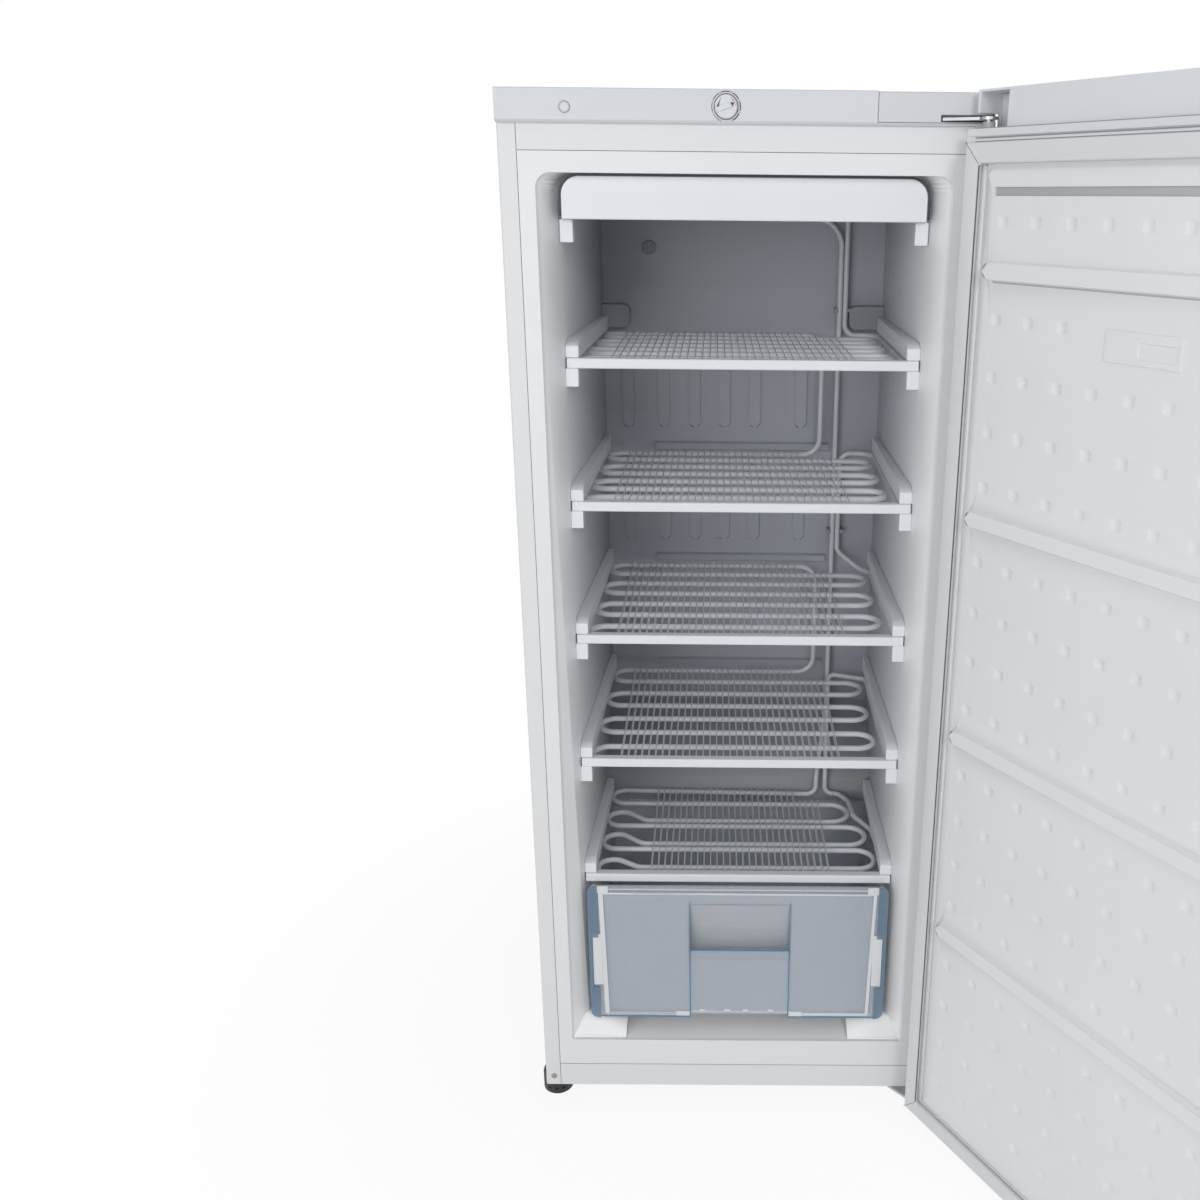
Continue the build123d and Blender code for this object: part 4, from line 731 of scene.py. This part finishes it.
def arcBar(name, center, radius, width, depth, span, steps, paint, slot="dark_print"):
    bpy.ops.object.select_all(action="DESELECT")
    start, end = span
    first = math.radians(start)
    bpy.ops.mesh.primitive_plane_add(size=1, location=onCircle(center, radius, first))
    piece = bpy.context.active_object
    piece.name = name
    piece.scale = (metres(width), metres(depth), 1)
    piece.rotation_euler = (0, -first, 0)
    bpy.ops.object.transform_apply(location=True, rotation=True, scale=True)
    bpy.ops.object.mode_set(mode="EDIT")
    bpy.ops.mesh.select_all(action="SELECT")
    if span == wholeTurn:
        # a closed ring has no ends, so only the edges go round
        bpy.ops.mesh.delete(type="ONLY_FACE")
        bpy.ops.mesh.select_all(action="SELECT")
    turn = math.radians(end - start)
    bpy.ops.mesh.spin(steps=steps, angle=turn, center=center, axis=(0, 1, 0))
    bpy.ops.mesh.select_all(action="SELECT")
    bpy.ops.mesh.remove_doubles(threshold=dial["mergeWithin"])
    bpy.ops.mesh.normals_make_consistent(inside=False)
    bpy.ops.object.mode_set(mode="OBJECT")
    return finishPiece(piece, paint, "cabinet")


def makeTick(center, turn):
    bpy.ops.object.select_all(action="DESELECT")
    place = onCircle(center, dial["tickRadius"], turn)
    bpy.ops.mesh.primitive_cube_add(size=1, location=place)
    mark = bpy.context.active_object
    mark.scale = [metres(size) for size in dial["tickSize"]]
    mark.rotation_euler = (0, -turn, 0)
    return finishPiece(mark, printPaint, "cabinet")


def makeKnobMark(name, kind, paint):
    bpy.ops.object.select_all(action="DESELECT")
    tip = spot(dial["x"], knobMarks["face"], dial["z"])
    turn = math.radians(knobMarks[kind + "Angle"])
    bpy.ops.mesh.primitive_cylinder_add(
        vertices=knobMarks[kind + "Corners"],
        radius=metres(knobMarks[kind + "Size"]),
        depth=metres(knobMarks["depth"]),
        location=onCircle(tip, knobMarks[kind + "Radius"], turn),
    )
    mark = bpy.context.active_object
    mark.name = name
    mark.rotation_euler = (math.radians(90), math.radians(180), 0)
    chooseOnly(mark)
    bpy.ops.object.transform_apply(location=True, rotation=True, scale=True)
    softenEdges(mark, knobMarks["soft"], 35, 2)
    finishPiece(mark, paint, "knob")


def makeDial():
    pieces = []
    center = spot(dial["x"], dial["face"] - dial["proud"], dial["z"])
    depth = dial["printDepth"]
    growth = (dial["thick"] - dial["thin"]) / (dial["arcCount"] - 1)
    for i in range(dial["arcCount"] + 1):
        tick = dial["firstTick"] - i * dial["tickPitch"]
        pieces.append(makeTick(center, math.radians(tick)))
        if i < dial["arcCount"]:
            span = (tick - dial["tickPitch"] + dial["arcGap"], tick - dial["arcGap"])
            width = dial["thin"] + growth * i
            arc = (dial["arcRadius"], width, depth, span, dial["arcSteps"])
            pieces.append(arcBar("arc", center, *arc, printPaint))
    rim = (dial["rimRadius"], dial["rimWidth"], depth, wholeTurn, dial["rimSteps"])
    pieces.append(arcBar("rim", center, *rim, printPaint))
    scale = joined("dialScale", pieces)
    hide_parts("dial_ring")
    makeKnobMark("knobPointer", "pointer", redPaint)
    makeKnobMark("knobDot", "dot", printPaint)


makeDial()

# rings round the corner screws, the shade under the top hinge plate, the lamp's rim
screwRings = {
    "x": 263.0,
    "y": -0.15,
    "z": 14.6,
    "radius": 3.9,
    "width": 0.9,
    "depth": 0.3,
    "steps": 32,
}
hingeSlot = {"low": (215.0, -9.1, 1299.7), "high": (256.0, -8.7, 1306.6)}
lampRim = {"place": (-197.7, -8.9, 1311.3), "radius": 6.0, "width": 0.45, "depth": 0.4, "steps": 40}


def makeRing(name, place, look, paint, slot):
    size = (look["radius"], look["width"], look["depth"], wholeTurn, look["steps"])
    return arcBar(name, spot(*place), *size, paint, slot)


def makeScrewRings():
    rings = []
    for x in (-screwRings["x"], screwRings["x"]):
        place = (x, screwRings["y"], screwRings["z"])
        rings.append(makeRing("ring", place, screwRings, linePaint, "grey_plastic"))
    joined("screwRings", rings)


makeScrewRings()
# a black bar in the slot round the top hinge plate paints the slot's shade
bar("hingeSlotShade", hingeSlot["low"], hingeSlot["high"], sealAndShadePaint, "dark_print")
makeRing("lampRim", lampRim["place"], lampRim, seamPaint, "dark_print")
print("panel details made")

# the door's lines: round the panel inside the gasket, at the gasket's mitres and on the ledge;
# y runs from front to back, and the door's inner face looks towards the cabinet
doorLines = {
    "low": 29.0,
    "high": 1254.0,
    "gapX": (241.6, 242.7),
    "gapY": (-1.6, -0.3),
    "lipX": (239.2, 242.7),
    "lipY": (-12.1, -7.8),
    "lipSoft": 0.8,
    "mitreX": 253.75,
    "mitreZ": (1266.35, 16.25),
    "mitreReach": 15.4,
    "mitreY": (-1.2, -0.25),
    "mitreHalf": 0.3,
    "mitreSoft": 0.05,
    "ledgeX": 262.0,
    "ledgeY": (-12.4, -11.75),
    "ledgeZ": (1291.6, 1282.0, 1278.2),
    "ledgeWidths": (0.8, 1.6, 1.2),
    "ledgeSoft": 0.1,
}


def mirrored(side, near, far):
    return sorted((side * near, side * far))


def doorBar(name, x, y, z, paint, slot, soft, turn=None):
    return bar(name, *zip(x, y, z), paint, slot, "door", soft, turn)


def makeDoorLines():
    d = doorLines
    dark, soft, lips = [], [], []
    tall = (d["low"], d["high"])
    for side in (-1, 1):
        x = mirrored(side, *d["gapX"])
        dark.append(doorBar("line", x, d["gapY"], tall, seamPaint, "dark_print", 0.15))
        x = mirrored(side, *d["lipX"])
        vinyl = finishes["grey_rubber"]
        lips.append(doorBar("lip", x, d["lipY"], tall, vinyl, "grey_rubber", d["lipSoft"]))
    joined("gasketLips", lips)
    # grey lines along the ledge: the one under the ledge paints the ledge's shadow, the others mark
    # its top edge and the gasket's top
    for z, width in zip(d["ledgeZ"], d["ledgeWidths"]):
        x, z = (-d["ledgeX"], d["ledgeX"]), (z - width / 2, z + width / 2)
        line = doorBar("line", x, d["ledgeY"], z, linePaint, "grey_plastic", d["ledgeSoft"])
        soft.append(line)
    for side in (-1, 1):
        for middleZ, lean in zip(d["mitreZ"], (1, -1)):
            x = (side * d["mitreX"] - d["mitreReach"], side * d["mitreX"] + d["mitreReach"])
            z = (middleZ - d["mitreHalf"], middleZ + d["mitreHalf"])
            turn = (0, -side * lean * math.radians(45), 0)
            look = (seamPaint, "dark_print", d["mitreSoft"], turn)
            dark.append(doorBar("line", x, d["mitreY"], z, *look))
    joined("panelGapLines", dark)
    joined("ledgeLines", soft)


makeDoorLines()

# soft shades under and over the panel's ribs, and in the groove over them
doorShades = {
    "ribTops": (1155.4, 880.4, 605.4, 330.4),
    "ribHeight": 17.0,
    "ribX": 216.0,
    "ribY": (-8.2, -7.88),
    "under": 4.2,
    "underSunk": 0.5,
    "over": 1.3,
    "overSunk": 0.3,
    "soft": 0.1,
    "grooveX": 222.5,
    "grooveY": (-10.2, -9.5),
    "grooveZ": 1227.8,
    "grooveHeight": 8.6,
    "grooveSoft": 0.3,
}


def makeDoorShades():
    d = doorShades
    shades = []
    wide = (-d["ribX"], d["ribX"])
    for top in d["ribTops"]:
        low = top - d["ribHeight"]
        under = (low - d["under"], low + d["underSunk"])
        over = (top - d["overSunk"], top + d["over"])
        for z, paint in ((under, groovePaint), (over, shadePaint)):
            shades.append(doorBar("shade", wide, d["ribY"], z, paint, "grey_plastic", d["soft"]))
    joined("ribShades", shades)
    wide = (-d["grooveX"], d["grooveX"])
    half = d["grooveHeight"] / 2
    z = (d["grooveZ"] - half, d["grooveZ"] + half)
    look = (groovePaint, "grey_plastic", d["grooveSoft"])
    doorBar("grooveShade", wide, d["grooveY"], z, *look)


makeDoorShades()
print("door details made")

# tinted edges on the drawer's front: down its middle panel, under the pull and along the bottom
drawerFront = {"y": 19.6, "left": -67.0, "right": 73.0, "endX": 195.0, "bottom": 103.0}
blueEdges = {
    "top": 294.0,
    "lip": 214.7,
    "lowStart": 3.0,
    "depth": 1.2,
    "thinHalf": 0.35,
    "wideHalf": 0.8,
    "lipHalf": 0.9,
    "lipProud": 0.3,
    "lipDepth": 1.4,
    "footBelow": 0.8,
    "footAbove": 1.2,
}
# its clear edges, blocks and drip bumps: x, height over the bottom or z, and depth from its front
clearEdges = {
    "soft": 0.3,
    "sideStep": 8.0,
    "middleStep": 1.0,
    "cornerReach": 20.0,
    "sideZ": (2.4, 7.0),
    "sideY": (0.4, 1.5),
    "cornerZ": (1.4, 9.0),
    "cornerY": (0.2, 1.4),
    "middleZ": (6.0, 10.0),
    "bumps": (-50.0, -14.0, 12.0, 48.0),
    "bumpHalf": 4.0,
    "bumpZ": (9.0, 12.5),
    "rims": ((190.0, 304.0, 306.5), (192.0, 311.2, 312.4)),
    "postTop": (191.0, 312.0),
    "postLowX": 185.5,
    "postStart": 5.0,
    "postHalves": {-1: 3.2, 1: 2.2},
    "postY": (0.3, 1.4),
    "notchX": (190.0, 203.5),
    "notchZ": (157.0, 240.0),
    "notchY": (-0.2, 0.6),
    "capX": (180.0, 196.0),
    "capZ": (306.0, 316.8),
    "capY": (0.1, 1.6),
}
# the haze on the slanted back of the pull's pocket
pocketHaze = {
    "front": (22.0, 287.0),
    "back": (43.5, 207.0),
    "sideGap": 2.0,
    "rise": 0.8,
    "half": 0.2,
}


def blueBar(x, y, z):
    return bar("edge", *zip(x, y, z), edgePaint, "blue_plastic", "drawer")


def clearBar(x, y, z, turn=None, paint=milkPaint):
    look = (paint, "clear_plastic", "drawer", clearEdges["soft"], turn)
    return bar("edge", *zip(x, y, z), *look)


def fromFront(span):
    return [drawerFront["y"] + depth for depth in span]


def fromBottom(span):
    return [drawerFront["bottom"] + height for height in span]


def makeBlueEdges():
    e = blueEdges
    left, right, end = drawerFront["left"], drawerFront["right"], drawerFront["endX"]
    y = fromFront((0, e["depth"]))
    start = drawerFront["bottom"] + e["lowStart"]
    blue = []
    for x in (left, right):
        blue.append(blueBar((x - e["thinHalf"], x + e["thinHalf"]), y, (e["lip"], e["top"])))
        blue.append(blueBar((x - e["wideHalf"], x + e["wideHalf"]), y, (start, e["lip"])))
    lipY = fromFront((-e["lipProud"], e["lipDepth"]))
    lipZ = (e["lip"] - e["lipHalf"], e["lip"] + e["lipHalf"])
    blue.append(blueBar((left, right), lipY, lipZ))
    foot = fromBottom((-e["footBelow"], e["footAbove"]))
    for x in ((-end, left), (right, end)):
        blue.append(blueBar(x, y, foot))
    joined("drawerBlueEdges", blue)


def lowEdges():
    e = clearEdges
    end = drawerFront["endX"] - e["sideStep"]
    left = drawerFront["left"] - e["middleStep"]
    right = drawerFront["right"] + e["middleStep"]
    leftCorner = (drawerFront["left"] - e["cornerReach"], left)
    rightCorner = (right, drawerFront["right"] + e["cornerReach"])
    pieces = []
    for side, corner in (((-end, left), leftCorner), ((right, end), rightCorner)):
        pieces.append(clearBar(side, fromFront(e["sideY"]), fromBottom(e["sideZ"])))
        pieces.append(clearBar(corner, fromFront(e["cornerY"]), fromBottom(e["cornerZ"])))
    middle = (drawerFront["left"] + e["middleStep"], drawerFront["right"] - e["middleStep"])
    pieces.append(clearBar(middle, fromFront(e["sideY"]), fromBottom(e["middleZ"])))
    for x in e["bumps"]:
        bump = (x - e["bumpHalf"], x + e["bumpHalf"])
        pieces.append(clearBar(bump, fromFront(e["cornerY"]), fromBottom(e["bumpZ"])))
    return pieces


def highEdges():
    e = clearEdges
    pieces = [clearBar((-x, x), fromFront(e["sideY"]), (low, high)) for x, low, high in e["rims"]]
    topX, topZ = e["postTop"]
    lean = math.atan2(topX - e["postLowX"], topZ - drawerFront["bottom"])
    middle = (topX + e["postLowX"]) / 2
    postZ = (drawerFront["bottom"] + e["postStart"], topZ)
    for side, half in e["postHalves"].items():
        post = (side * middle - half, side * middle + half)
        pieces.append(clearBar(post, fromFront(e["postY"]), postZ, (0, side * lean, 0)))
        notch = mirrored(side, *e["notchX"])
        pieces.append(clearBar(notch, fromFront(e["notchY"]), e["notchZ"]))
        cap = mirrored(side, *e["capX"])
        pieces.append(clearBar(cap, fromFront(e["capY"]), e["capZ"]))
    return pieces


def makePocketHaze():
    h = pocketHaze
    (y0, z0), (y1, z1) = h["front"], h["back"]
    y, z = (y0 + y1) / 2 - h["rise"], (z0 + z1) / 2
    reach = math.hypot(y1 - y0, z0 - z1) / 2
    slant = math.atan2(y1 - y0, z0 - z1)
    x = (drawerFront["left"] + h["sideGap"], drawerFront["right"] - h["sideGap"])
    sheet = (x, (y - h["half"], y + h["half"]), (z - reach, z + reach))
    pocket = clearBar(*sheet, (slant, 0, 0), hazePaint)
    pocket.name = "pocketBackSheet"


makeBlueEdges()
joined("drawerClearEdges", lowEdges() + highEdges())
makePocketHaze()
print("drawer details made")
